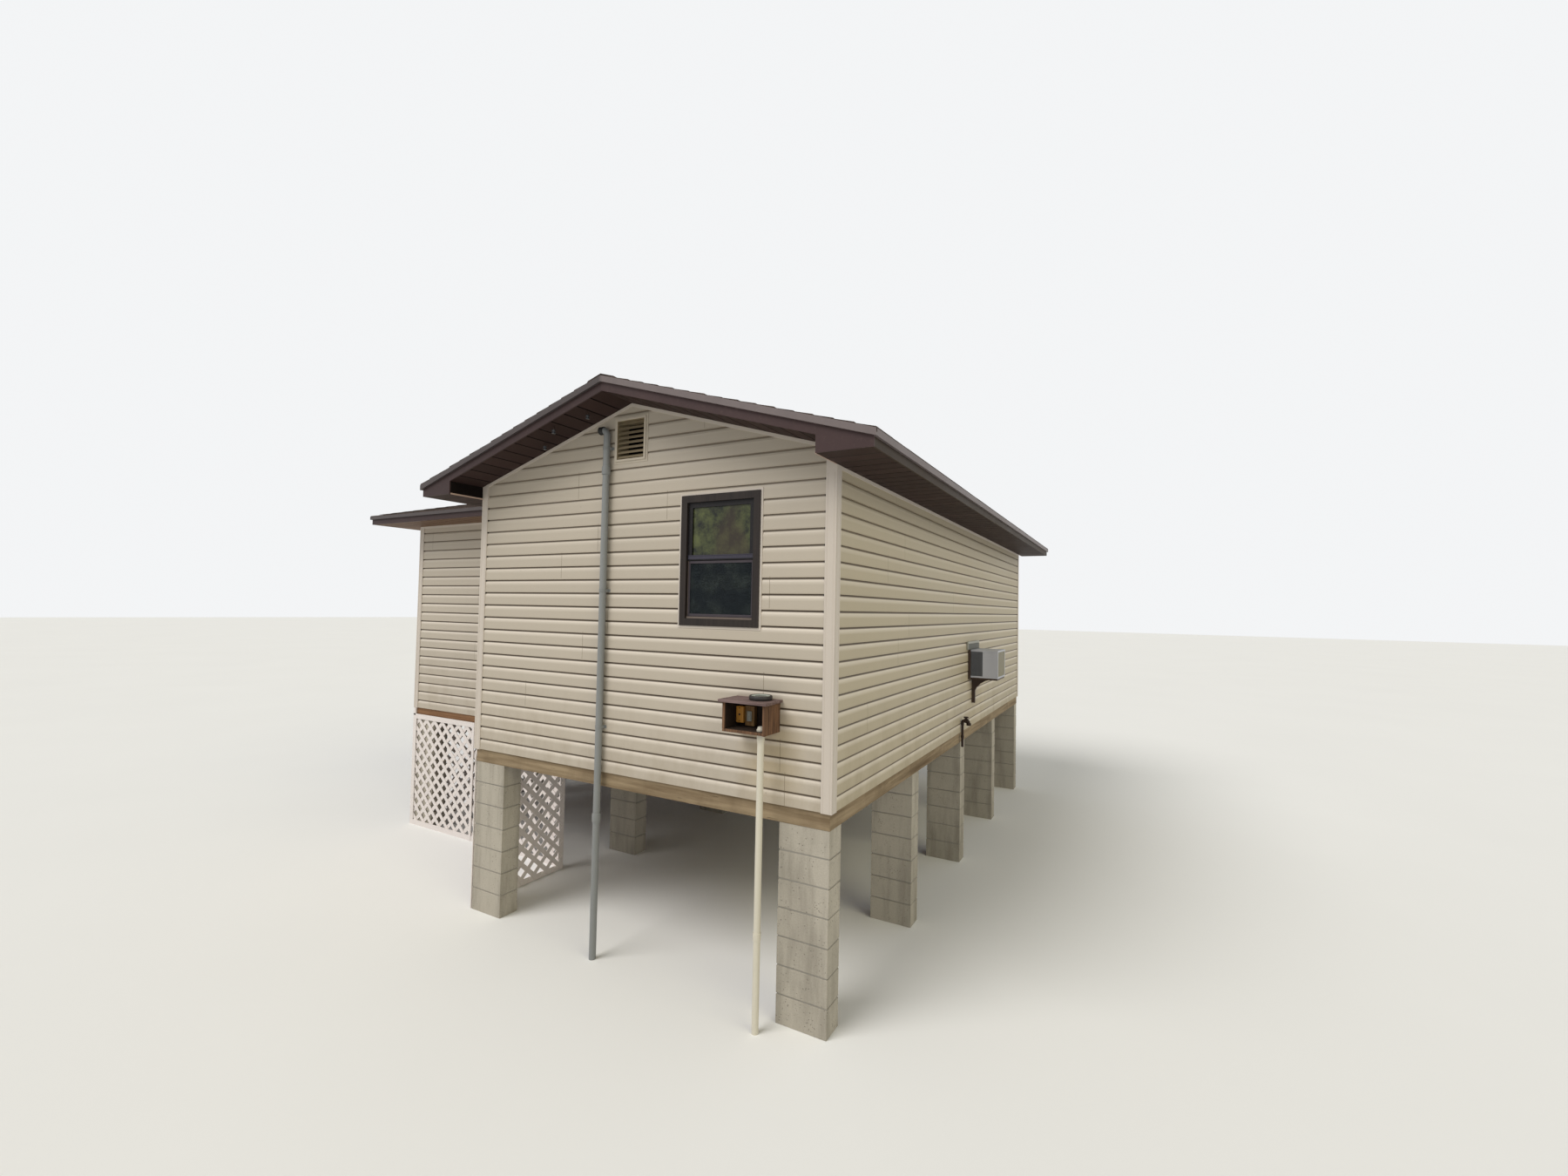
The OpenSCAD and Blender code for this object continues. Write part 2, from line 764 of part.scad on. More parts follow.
// Gable vents: a frame with sloping louvre blades
module gable_vent() {
    out = -win_proud;
    side = vent_w / 2 - vent_frame;
    step = (vent_h - 2 * vent_frame) / vent_blades;
    difference() {
        union() {
            span([-vent_w / 2, out, vent_z], [vent_w / 2, wall_y + wall_t, vent_z + vent_h]);
            span([-vent_w / 2 - j_trim, -trim_proud, vent_z - j_trim],
                 [vent_w / 2 + j_trim, wall_y, vent_z + vent_h + j_trim]);
        }
        span([-side, -wall_t, vent_z + vent_frame], [side, 2 * wall_t, vent_z + vent_h - vent_frame]);
    }
    for (i = [0 : vent_blades - 1]) along_x(-side, side)
        translate([0, vent_z + vent_frame + (i + 0.15) * step]) polygon([
            [out + 2, 0], [out + 6, 0], [out + 34, step * 0.75], [out + 30, step * 0.75]
        ]);
}
module gable_vents() {
    color(cream) place() both_gables() gable_vent();
}

// Windows, drawn on the front wall with the middle of the lower edge at X = 0
module ring(w, h, bar, y0, y1) {
    difference() {
        span([-w / 2, y0, 0], [w / 2, y1, h]);
        span([bar - w / 2, y0 - 1, bar], [w / 2 - bar, y1 + 1, h - bar]);
    }
}
module at_windows() {
    place() {
        translate([win_x, 0, win_z]) children();
        to_back() translate([back_win_x, 0, win_z]) children();
        for (y = lake_win_y) to_lake(y) translate([0, 0, win_z]) children();
    }
}
module window_trims() {
    color(cream) at_windows() translate([0, 0, -j_trim])
        ring(win_w + 2 * j_trim, win_h + 2 * j_trim, j_trim, -trim_proud, wall_y);
}
module window_frames() {
    color(bronze) at_windows() ring(win_w, win_h, win_frame, -win_proud, wall_y + wall_t);
}
module sash(z0, z1, y) {
    w = win_w - 2 * win_frame;
    translate([0, 0, z0]) ring(w, z1 - z0, sash_w, y, y + sash_t);
}
sash_low = win_frame;
sash_high = win_h - win_frame;
sash_meet = win_h * 0.52;
sash_out = 8;
module window_sashes() {
    color(bronze) at_windows() {
        sash(sash_low, sash_meet, sash_out + sash_t + 2);
        sash(sash_meet - sash_w / 2, sash_high, sash_out);
    }
}
module pane(z0, z1, y) {
    w = win_w - 2 * win_frame - 2 * sash_w;
    span([-w / 2, y + sash_t / 2 - 2, z0 + sash_w], [w / 2, y + sash_t / 2 + 2, z1 - sash_w]);
}
module window_glass() {
    color(grey) at_windows() {
        pane(sash_low, sash_meet, sash_out + sash_t + 2);
        pane(sash_meet - sash_w / 2, sash_high, sash_out);
    }
}

// Closed door in the back gable
door_frame = 40;
module back_door() {
    leaf_y = 30;
    color(brown) place() to_back() translate([door_x, 0, floor_top]) {
        difference() {
            union() {
                span([-door_w / 2, -trim_proud, 0], [door_w / 2, wall_y + wall_t, door_h]);
                span([-door_w / 2 - j_trim, -trim_proud, 0], [door_w / 2 + j_trim, wall_y, door_h + j_trim]);
            }
            span([door_frame - door_w / 2, -wall_t, -1], [door_w / 2 - door_frame, 2 * wall_t, door_h - door_frame]);
        }
        difference() {
            span([door_frame - door_w / 2, leaf_y, 0], [door_w / 2 - door_frame, leaf_y + 44, door_h - door_frame]);
            for (x = [-1, 1]) for (z = [180, 1120])
                span([x * 185 - 120, leaf_y - 1, z], [x * 185 + 120, leaf_y + 8, z + 700]);
        }
    }
}

// Air conditioner through the right wall: a louvred strip near the wall, its header and its bracket
louvre_w = 158;
louvre_pitch = 18;
module air_conditioner() {
    z = siding_foot + ac_foot;
    rim = 24;
    color(grey) place() difference() {
        span([wall_x - wall_t, ac_y, z], [half_w + ac_out, ac_y + ac_w, z + ac_h]);
        for (side = [ac_y - 1, ac_y + ac_w - 9]) for (x = [12 : louvre_pitch : louvre_w - 8])
            span([half_w + x, side, z + rim], [half_w + x + 9, side + 10, z + ac_h - rim]);
        span([half_w + ac_out - 8, ac_y + rim, z + rim], [half_w + ac_out + 1, ac_y + ac_w - rim, z + ac_h - rim]);
    }
    color(grey) place() for (i = [0 : 15])
        translate([half_w + ac_out - 8, ac_y + rim, z + rim + 6 + i * (ac_h - 2 * rim - 6) / 16])
            cube([7, ac_w - 2 * rim, 9]);
}
module ac_header() {
    z = siding_foot + ac_foot + ac_h;
    color(grey) place() {
        span([half_w, ac_y - 140, z], [half_w + 22, ac_y + ac_w, z + 100]);
        span([half_w, ac_y - 50, z - ac_h - 20], [half_w + 22, ac_y, z]);
    }
}
bracket_t = 36;
module ac_bracket() {
    z = siding_foot + ac_foot;
    y = ac_y + 0.34 * ac_w;
    color(dark) place() {
        span([half_w, ac_y, z - 20], [half_w + ac_out - 8, ac_y + ac_w, z]);
        along_y(y, y + bracket_t) polygon([
            [half_w, z - 320], [half_w + bracket_t, z - 320], [half_w + bracket_t, z - 170],
            [half_w + 56, z - 130], [half_w + 98, z - 86], [half_w + 158, z - 48], [half_w + 245, z - 20],
            [half_w, z - 20]
        ]);
    }
}

// Service mast up the front wall, bent over to the left into an open head
mast_gap = 8;
module service_mast() {
    y = -mast_d / 2 - mast_gap;
    top = rake_z(mast_x) - mast_drop;
    bend = mast_d * 0.8;
    head = 34;
    color(grey) place() translate([-mast_x, y, 0]) difference() {
        union() {
            cylinder(d = mast_d, h = top);
            translate([0, 0, top - 330]) cylinder(d = mast_d + 14, h = 70);
            translate([-bend, 0, top]) rotate([90, 0, 0])
                rotate_extrude(angle = 90) translate([bend, 0]) circle(d = mast_d);
            translate([-bend - head, 0, top + bend]) rotate([0, 90, 0]) cylinder(d = mast_d + 10, h = head);
            for (z = [siding_foot + 350, siding_foot + wall_rise * 0.63, top - 120])
                span([-mast_d / 2 - 22, 0, z], [mast_d / 2 + 22, mast_d / 2 + mast_gap, z + 26]);
        }
        translate([-bend - head - 1, 0, top + bend]) rotate([0, 90, 0]) cylinder(d = mast_d - 8, h = head);
    }
}

// Insulated hooks in the left rake soffit, eight-sided
module cable_hook(x, y) {
    translate([x, y, rake_z(x)]) {
        translate([0, 0, -46]) cylinder(d = 9, h = 46 - roof_rise * 5, $fn = 8);
        translate([0, 0, -58]) cylinder(d = 34, h = 12, $fn = 8);
        translate([0, 0, -36]) cylinder(d = 34, h = 12, $fn = 8);
    }
}
module cable_hooks() {
    color(dark) place() {
        cable_hook(-300, -197);
        cable_hook(-624, -254);
        cable_hook(-880, -118);
    }
}

// Open-fronted outlet box on its post, with what is mounted in and on it
module outlet_box() {
    color(timber) place() translate([box_x, 0, siding_foot + box_foot]) {
        difference() {
            span([-box_w / 2, -box_d, 0], [box_w / 2, 0, box_h]);
            span([box_t - box_w / 2, -box_d - 1, box_t], [box_w / 2 - box_t, -box_t, box_h]);
        }
        span([-box_w / 2 - box_eave, -box_d - box_eave, box_h], [box_w / 2 + box_eave, 0, box_h + box_t]);
    }
}
module outlets() {
    left = box_x - box_w / 2 + box_t;
    z = siding_foot + box_foot;
    color(grey) place() {
        span([left + 4, -box_t - 56, z + 44], [left + 66, -box_t, z + 162]);
        translate([left + 35, -box_t - 56, z + 103]) rotate([90, 0, 0]) cylinder(d = 34, h = 5);
        span([left + 72, -box_t - 40, z + 26], [left + 150, -box_t, z + 168]);
        span([left + 92, -box_t - 48, z + 60], [left + 130, -box_t - 40, z + 130]);
    }
}
module round_cover() {
    color(dark) place() translate([box_x + 70, -100, siding_foot + box_foot + box_h + box_t]) difference() {
        cylinder(d = 164, h = 34);
        translate([0, 0, 14]) cylinder(d = 104, h = 21);
    }
}
module outlet_post() {
    color(cream) place() translate([box_x + 107, -150, 0])
        cylinder(d = post_d, h = siding_foot + box_foot);
}

// Outside tap on the right wall: standpipe, elbow, valve with its wheel and a nozzle
tap_pipe_d = 22;
tap_elbow_d = 32;
tap_top = 125;
module spigot() {
    color(dark) place() translate([half_w + tap_elbow_d / 2 + 0.3, 3533, siding_foot]) {
        translate([0, 0, -165]) cylinder(d = tap_pipe_d, h = 165 + tap_top);
        translate([0, 0, tap_top]) cylinder(d = tap_elbow_d, h = 30);
        translate([0, 0, tap_top + 15]) rotate([0, 90, 0]) cylinder(d = 26, h = 84);
        translate([72, 0, tap_top - 40]) rotate([0, 20, 0]) cylinder(d = 22, h = 50);
        translate([48, 0, tap_top]) cylinder(d = 12, h = 54);
        translate([48, 0, tap_top + 46]) cylinder(d = 56, h = 9);
    }
}

// What is left of a flat shape on the near side of a line, whose normal is n, at distance d
function trimmed(shape, n, d) = [
    for (i = [0 : 1 : len(shape) - 1])
        let (
            a = shape[i],
            b = shape[(i + 1) % len(shape)],
            side_a = n * a - d,
            side_b = n * b - d
        )
            each concat(
                side_a <= 0 ? [a] : [],
                side_a * side_b < 0 ? [a + (b - a) * side_a / (side_a - side_b)] : []
            )
];
function in_panel(shape, w, h) = trimmed(trimmed(trimmed(trimmed(
    shape, [-1, 0], -slat_inset), [1, 0], w - slat_inset),
    [0, -1], -slat_inset), [0, 1], h - slat_inset);

// One layer of slats that rise to one side, cut off at the edges of a panel
module slat_layer(w, h, slant) {
    across = slat_w / sqrt(2);
    step = slat_pitch * sqrt(2);
    count = ceil((w + h) / step / 2);
    for (i = [-count : count]) {
        x = w / 2 + i * step;
        slat = in_panel([
            [x - across - slant * w, h / 2 - w], [x + across - slant * w, h / 2 - w],
            [x + across + slant * w, h / 2 + w], [x - across + slant * w, h / 2 + w]
        ], w, h);
        if (len(slat) > 2) linear_extrude(slat_t) polygon(slat);
    }
}

// Lattice panel in X and Z: two layers of slats behind a frame,
// its lower left corner at the origin and its back on Y = 0
module lattice(w, h) {
    rotate([90, 0, 0]) {
        slat_layer(w, h, 1);
        translate([0, 0, slat_t + slat_gap]) slat_layer(w, h, -1);
        translate([0, 0, 2 * (slat_t + slat_gap)]) linear_extrude(lattice_frame_t) difference() {
            square([w, h]);
            translate([lattice_frame, lattice_frame]) square([w - 2 * lattice_frame, h - 2 * lattice_frame]);
        }
    }
}
lattice_h = siding_foot - lattice_drop;
lattice_deep = 2 * (slat_t + slat_gap) + lattice_frame_t;
module wing_front_lattice() {
    color(white) place() translate([wing_x, wing_front + siding_butt, 0]) lattice(wing_out, lattice_h);
}
module wing_back_lattice() {
    color(white) place() translate([0, 2 * wing_mid, 0]) mirror([0, 1, 0])
        translate([wing_x, wing_front + siding_butt, 0]) lattice(wing_out, lattice_h);
}
module wing_left_lattice() {
    color(white) place() translate([wing_wall_x, wing_rear - siding_butt, 0]) rotate([0, 0, -90])
        lattice(wing_l - 2 * siding_butt, lattice_h);
}
module main_left_lattice() {
    color(white) place() {
        translate([-wall_x, wing_front + siding_butt - lattice_deep, 0]) rotate([0, 0, -90])
            lattice(wing_front - lattice_deep, lattice_h);
        translate([-wall_x, main_l - siding_butt, 0]) rotate([0, 0, -90])
            lattice(main_l - wing_rear - lattice_deep, lattice_h);
    }
}

main_piers();
wing_piers();
main_floor_frame();
wing_floor_frame();
main_floor();
wing_floor();
front_wall();
back_wall();
right_wall();
left_wall();
wing_front_wall();
wing_left_wall();
wing_back_wall();
front_siding();
back_siding();
right_siding();
left_siding();
wing_siding();
corner_posts();
soffit_trim();
right_roof();
left_roof();
wing_roof();
ridge_cap();
wing_caps();
rake_fascias();
eave_fascias();
wing_fascia();
drip_edges();
rake_soffits();
eave_soffits();
eave_returns();
wing_soffit();
gable_vents();
window_trims();
window_frames();
window_sashes();
window_glass();
back_door();
air_conditioner();
ac_header();
ac_bracket();
service_mast();
cable_hooks();
outlet_box();
outlets();
round_cover();
outlet_post();
spigot();
wing_front_lattice();
wing_left_lattice();
wing_back_lattice();
main_left_lattice();
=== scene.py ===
"""Looks of the boathouse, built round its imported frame.

Every piece is a mesh worked out with numpy in the row frame: X to the right, Y to the back, Z up, in metres.
"""

import json
import math

import bmesh
import bpy
import numpy as np
from mathutils import Matrix, Vector


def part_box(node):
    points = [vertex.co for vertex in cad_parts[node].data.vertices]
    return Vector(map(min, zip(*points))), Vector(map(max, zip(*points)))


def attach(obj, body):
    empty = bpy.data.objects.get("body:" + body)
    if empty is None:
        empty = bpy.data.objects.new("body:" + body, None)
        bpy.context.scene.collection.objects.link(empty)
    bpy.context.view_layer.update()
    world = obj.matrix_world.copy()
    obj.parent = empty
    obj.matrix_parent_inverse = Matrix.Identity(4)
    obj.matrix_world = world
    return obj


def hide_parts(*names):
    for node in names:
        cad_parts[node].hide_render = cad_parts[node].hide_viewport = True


bl_info = {
    "name": "Boathouse",
    "version": (1, 0, 0),
    "blender": (4, 5, 0),
    "location": "3D View > Sidebar > Boathouse",
    "description": "Finishes and fine pieces of a small lakeside boathouse",
    "category": "Add Mesh",
}

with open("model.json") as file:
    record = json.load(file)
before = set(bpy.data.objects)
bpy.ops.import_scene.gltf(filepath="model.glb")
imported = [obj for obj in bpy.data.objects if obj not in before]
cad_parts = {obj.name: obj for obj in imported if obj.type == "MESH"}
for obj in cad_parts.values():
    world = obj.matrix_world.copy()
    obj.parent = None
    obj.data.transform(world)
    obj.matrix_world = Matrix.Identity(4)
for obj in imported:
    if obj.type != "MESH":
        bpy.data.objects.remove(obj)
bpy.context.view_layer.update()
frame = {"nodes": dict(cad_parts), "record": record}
NODES = frame["nodes"]
BODY = "root"


def box(node):
    """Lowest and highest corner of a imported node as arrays."""
    low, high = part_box(node)
    return np.array(low), np.array(high)


def upright(node):
    """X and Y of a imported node's middle line, and its radius, foot and head."""
    low, high = box(node)
    x, y = (low + high)[:2] / 2
    return x, y, (high[0] - low[0]) / 2, low[2], high[2]


def vertices(node):
    """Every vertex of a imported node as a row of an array."""
    return np.array([vertex.co for vertex in NODES[node].data.vertices])


# Siding: its foot, height of a course and of the first one, length of a board, and how far the joints may shift
SIDING_FOOT = box("right_siding")[0][2]
COURSE = 0.1143
FIRST_COURSE = 0.104
BOARD_LENGTH = 3.66
BOARD_SHIFT = 3.6
# Roofs: rise for each metre of run, height of a butt, run of a course, width of a tab and the narrowest one made.
# By chance a course starts up to a stray to one side, and a tab is cut short by a droop and thicker by a swell.
# Folded caps: run of one, reach to each side and the chance in it, thickness, and how far its two ends are lifted.
ROOF_RISE = 0.3
SHINGLE_BUTT = 0.006
SHINGLE_RUN = 0.138
TAB_WIDTH = 0.305
TAB_LEAST = 0.01
TAB_STRAY = 0.012
TAB_DROOP = 0.003
TAB_SWELL = 0.0012
CAP_RUN = 0.13
CAP_SIDE = 0.138
CAP_STRAY = 0.004
CAP_THICK = 0.004
CAP_LIFTS = (0.0048, 0.001)
# Edges of the wing's roof: fascia, deck above it, and how far the deck laps over it
FASCIA_HEIGHT = 0.09
WING_DECK = 0.022
DECK_LAP = 0.018
# Grooves of the soffits: distance between them, the first one's place along Y, and how far up a groove its painted
# shade starts and is full.
# On the rakes they are counted in plan from the ridge line, so their distance shrinks with the slope.
GROOVE_PITCH = 0.152
GROOVE_START = -3.572
GROOVE_DEPTH = (0.0004, 0.0012)
RAKE_PITCH = GROOVE_PITCH * 0.9578
RAKE_START = 0.0173
# Threads of the insect screens: distance between them and width
THREAD_PITCH = 0.0015
THREAD = 0.0005


# ---------------------------------------------------------------- finishes

def linear(red, green, blue):
    """A colour given as 0 to 255 on a screen, turned into light: ((c + 0.055) / 1.055) ** 2.4 above the toe."""
    parts = (part / 255 for part in (red, green, blue))
    return tuple(part / 12.92 if part <= 0.04045 else ((part + 0.055) / 1.055) ** 2.4 for part in parts)


def maths(operation, turned=False):
    """An operator on readings; turned swaps its two sides."""
    def method(self, *others):
        """A Math node on the two sides, or on one reading alone."""
        values = (*others, self) if turned else (self, *others)
        return self.nodes.node("ShaderNodeMath", {"operation": operation}, dict(enumerate(values)))
    return method


class Reading:
    """A value that varies over a surface. Arithmetic on it adds Math nodes to its tree."""

    def __init__(self, nodes, socket):
        self.nodes = nodes
        self.socket = socket

    __add__ = __radd__ = maths("ADD")
    __sub__, __rsub__ = maths("SUBTRACT"), maths("SUBTRACT", turned=True)
    __mul__ = __rmul__ = maths("MULTIPLY")
    __truediv__, __mod__ = maths("DIVIDE"), maths("FLOORED_MODULO")
    __gt__, __lt__, __or__ = maths("GREATER_THAN"), maths("LESS_THAN"), maths("MAXIMUM")
    __abs__, floor = maths("ABSOLUTE"), maths("FLOOR")

    def step(self, low, high):
        """0 below low and 1 above high, with a straight climb between them."""
        ends = {"Value": self, "From Min": low, "From Max": high, "To Min": 0.0, "To Max": 1.0}
        return self.nodes.node("ShaderNodeMapRange", {"clamp": True}, ends)


class Nodes:
    """The nodes of one material or world."""

    def __init__(self, owner):
        owner.use_nodes = True
        self.tree = owner.node_tree

    def feed(self, inputs, values):
        """Links each reading to its socket and sets each plain value on the socket itself."""
        for name, value in values.items():
            if isinstance(value, Reading):
                self.tree.links.new(value.socket, inputs[name])
            else:
                inputs[name].default_value = value

    def node(self, kind, settings, sockets, output=0):
        """Adds a node, sets its settings first, then its sockets, and returns a reading of one output."""
        made = self.tree.nodes.new(kind)
        for name, value in settings.items():
            setattr(made, name, value)
        self.feed(made.inputs, sockets)
        return Reading(self, made.outputs[output])


class Finish(Nodes):
    """One material, made from expressions on readings of the object's own coordinates."""

    def __init__(self, name, **constants):
        self.material = bpy.data.materials.new(name)
        super().__init__(self.material)
        self.paint(**constants)
        self.object_place = self.node("ShaderNodeTexCoord", {}, {}, "Object")
        self.xyz = [self.part(self.object_place, axis) for axis in "XYZ"]

    def paint(self, **values):
        """Feeds the shader's sockets, each named with _ for a space, with readings or constants."""
        inputs = self.tree.nodes["Principled BSDF"].inputs
        self.feed(inputs, {name.replace("_", " "): value for name, value in values.items()})

    def relief(self, height, depth, strength=1.0):
        """Bump from a height reading; depth is the height of 1, in metres."""
        self.paint(Normal=self.node("ShaderNodeBump", {}, {"Height": height, "Distance": depth, "Strength": strength}))

    def part(self, vector, axis):
        """One axis of a vector."""
        return self.node("ShaderNodeSeparateXYZ", {}, {"Vector": vector}, axis)

    def place(self, stretch=(1, 1, 1)):
        """The object's coordinates, stretched."""
        return self.node("ShaderNodeMapping", {}, {"Vector": self.object_place, "Scale": stretch})

    def noise(self, scale, stretch=(1, 1, 1), detail=3.0, rough=0.55):
        """Soft noise round 0.5, finer as scale grows and longer along an axis whose stretch is small."""
        sockets = {"Vector": self.place(stretch), "Scale": scale, "Detail": detail, "Roughness": rough}
        return self.node("ShaderNodeTexNoise", {}, sockets)

    def cells(self, scale, output):
        """One output of round cells."""
        return self.node("ShaderNodeTexVoronoi", {}, {"Vector": self.place(), "Scale": scale}, output)

    def spots(self, scale, size):
        """1 inside small round spots and 0 elsewhere; size is their radius as a share of their spacing."""
        return 1 - self.cells(scale, "Distance").step(size * 0.6, size)

    def random(self, *whole):
        """A steady random value from 0 to 1 for each set of whole numbers."""
        vector = self.node("ShaderNodeCombineXYZ", {}, dict(zip("XYZ", whole)))
        return self.node("ShaderNodeTexWhiteNoise", {}, {"Vector": vector}, "Value")

    def near(self, middle, reach):
        """1 round a point, falling to 0 at its reach along each axis."""
        x, y, z = (1 - abs((at - there) / far).step(0.3, 1.0) for at, there, far in zip(self.xyz, middle, reach))
        return x * y * z

    def inside(self, low, high):
        """1 between two corners and 0 elsewhere."""
        x, y, z = ((at > first) * (at < last) for at, first, last in zip(self.xyz, low, high))
        return x * y * z

    def facing(self, axis):
        """1 where the surface looks along an axis, either way, and 0 elsewhere."""
        return abs(self.part(self.node("ShaderNodeNewGeometry", {}, {}, "Normal"), axis)) > 0.6

    def shade(self, colour, level):
        """A colour made lighter or darker by a level round 1."""
        return self.node("ShaderNodeVectorMath", {"operation": "SCALE"}, {"Vector": colour, "Scale": level})

    def coats(self, painted, *layers):
        """A colour under others, each given with the share that it covers."""
        for colour, share in layers:
            sockets = {0: share}
            for index, mixed in ((6, painted), (7, colour)):
                sockets[index] = mixed if isinstance(mixed, Reading) else (*mixed, 1.0)
            painted = self.node("ShaderNodeMix", {"data_type": "RGBA"}, sockets, 2)
        return painted


def siding_finish(name, colour):
    """Lapped siding: each pair of courses is one panel with its own tone, with soiling low down and fine streaks.
    Each course has a painted highlight near its top and painted shade under the butt above it and along its own
    foot; the highlight and the shade under the butts grow weaker high up, where the eaves' shade falls. A yellowish
    patch below the outlet box is its painted shadow, and another yellowish patch lies below the cooler.
    """
    finish = Finish(name, Specular_IOR_Level=0.35)
    x, y, z = finish.xyz
    up = z - SIDING_FOOT
    course, panel = (up / COURSE).floor(), (up / (2 * COURSE)).floor()
    run = x + y + finish.random(panel, 3.0, 0.0) * BOARD_SHIFT
    board = finish.random(panel, (run / BOARD_LENGTH).floor(), 1.0)
    streak = finish.noise(9.0, (1, 1, 0.12), 4.0, 0.6)
    cloud = finish.noise(0.8, detail=5.0)
    level = 1 + (board - 0.5) * 0.035 + (finish.random(course, 7.0, 2.0) - 0.5) * 0.02
    level = level + (streak - 0.5) * 0.05 + (cloud - 0.5) * 0.07
    soil = (1 - up.step(0.0, 0.9)) * finish.noise(5.0, (1, 1, 0.5), 5.0, 0.65).step(0.42, 0.75)
    rise = (z - (SIDING_FOOT + FIRST_COURSE - COURSE)) % COURSE
    # Painted shade in the top few millimetres of each course, under the butt of the one above
    lap = rise.step(COURSE - 0.018, COURSE - 0.011)
    # Painted highlight on the upper part of each course, as where its bevel would catch the sky
    sheen = rise.step(COURSE * 0.55, COURSE * 0.8) * (1 - lap)
    # 1 low on the wall and 0 high up: there the painted highlight fades and the painted lap shade weakens, as in the
    #                                  eaves' shade
    clear_of_eave_shade = 1 - z.step(SIDING_FOOT + 1.3, SIDING_FOOT + 2.3)
    cooler, outlet = box("air_conditioner"), box("outlet_box")
    below_cooler = (cooler[1][0], (cooler[0][1] + cooler[1][1]) / 2 + 0.2, cooler[0][2] - 0.25)
    below_outlet = ((outlet[0][0] + outlet[1][0]) / 2 + 0.1, outlet[1][1], outlet[0][2] - 0.15)
    # A yellowish tone for two patches on the siding
    yellow_tone = linear(196, 170, 112)
    painted = finish.coats(
        finish.shade(colour, level),
        # A yellowish patch on the wall below the cooler
        (yellow_tone, finish.near(below_cooler, (0.5, 0.75, 0.55)) * 0.3),
        # Painted shadow of the outlet box: a yellowish patch on the wall below it
        (yellow_tone, finish.near(below_outlet, (0.3, 0.3, 0.4)) * 0.3),
        # Painted highlight near the top of each course
        (linear(232, 222, 210), sheen * (clear_of_eave_shade * 0.5 + 0.12)),
        # Painted shade under each butt
        (linear(66, 51, 36), lap * (clear_of_eave_shade * 0.26 + 0.66)),
        # Painted shade along the foot of each course
        (linear(150, 134, 110), (1 - rise.step(0.0, 0.012)) * 0.25),
        (linear(104, 90, 70), (run % BOARD_LENGTH < 0.0045) * 0.62),
        (linear(140, 124, 100), soil * 0.35),
        (linear(112, 98, 80), finish.spots(7.0, 0.05) * finish.noise(3.0).step(0.5, 0.6) * 0.3),
    )
    finish.paint(Base_Color=painted, Roughness=0.5 + (cloud - 0.5) * 0.14 + soil * 0.12)
    finish.relief(finish.noise(70.0, (0.12, 0.12, 1), 3.0) * 0.25 + finish.noise(1.6, (1, 1, 3), 1.0), 0.0012, 0.5)


def shingle_finish(colour):
    """Mineral shingles: each tab has its own tone, and granules and flecks lie over it."""
    finish = Finish("shingles", Specular_IOR_Level=0.25)
    x, y, _ = finish.xyz
    row = (x / SHINGLE_RUN).floor()
    tone = finish.random(row, ((y + finish.random(row, 1.0, 0.0) * 0.3) / TAB_WIDTH).floor(), 4.0)
    granule = finish.noise(420.0, detail=1.0, rough=0.4)
    fleck = finish.node("ShaderNodeSeparateColor", {}, {"Color": finish.cells(330.0, "Color")}, "Red")
    level = 0.78 + tone * 0.34 + (finish.noise(1.1, detail=4.0) - 0.5) * 0.3 + (granule - 0.5) * 0.5
    painted = finish.coats(
        finish.shade(colour, level), (linear(132, 116, 104), (fleck > 0.86) * 0.55),
        (linear(38, 33, 31), (fleck < 0.16) * 0.6),
    )
    finish.paint(Base_Color=painted, Roughness=0.88 + (granule - 0.5) * 0.1)
    finish.relief(granule + fleck * 0.6, 0.0016, 0.7)


def soffit_finish(name, colour, kind):
    """Grooved sheet: painted shade, near black, in its grooves, which rise above the plane of its underside, with a
    tone for each board. On a boxed return, which is plain, the grooves are only painted, as dark lines of shade, and
    its upright faces get painted shade, near black."""
    finish = Finish(name, Specular_IOR_Level=0.1)
    x, y, z = finish.xyz
    board = ((y - GROOVE_START) / GROOVE_PITCH).floor()
    groove_shade = (z - box("eave_soffits")[0][2]).step(*GROOVE_DEPTH)
    if kind == "rake":
        low, high = box("rake_soffits")
        middle = (low[0] + high[0]) / 2
        aside = abs(x - middle)
        board = ((aside + RAKE_START) / RAKE_PITCH).floor()
        groove_shade = (z + aside * ROOF_RISE - low[2] - ROOF_RISE * (middle - low[0])).step(*GROOVE_DEPTH)
    if kind == "return":
        groove_shade = ((y + 0.006 - GROOVE_START) % GROOVE_PITCH < 0.012) | finish.facing("X")
    streak = finish.noise(14.0, detail=4.0)
    level = 1 + (finish.random(board, 5.0, 1.0) - 0.5) * 0.3 + (streak - 0.5) * 0.3
    # Painted shade, near black, in the grooves and on a return's upright faces
    painted = finish.coats(finish.shade(colour, level), (linear(12, 9, 8), groove_shade * 0.92))
    finish.paint(Base_Color=painted, Roughness=0.6 + (streak - 0.5) * 0.15)
    finish.relief(streak, 0.0008, 0.4)


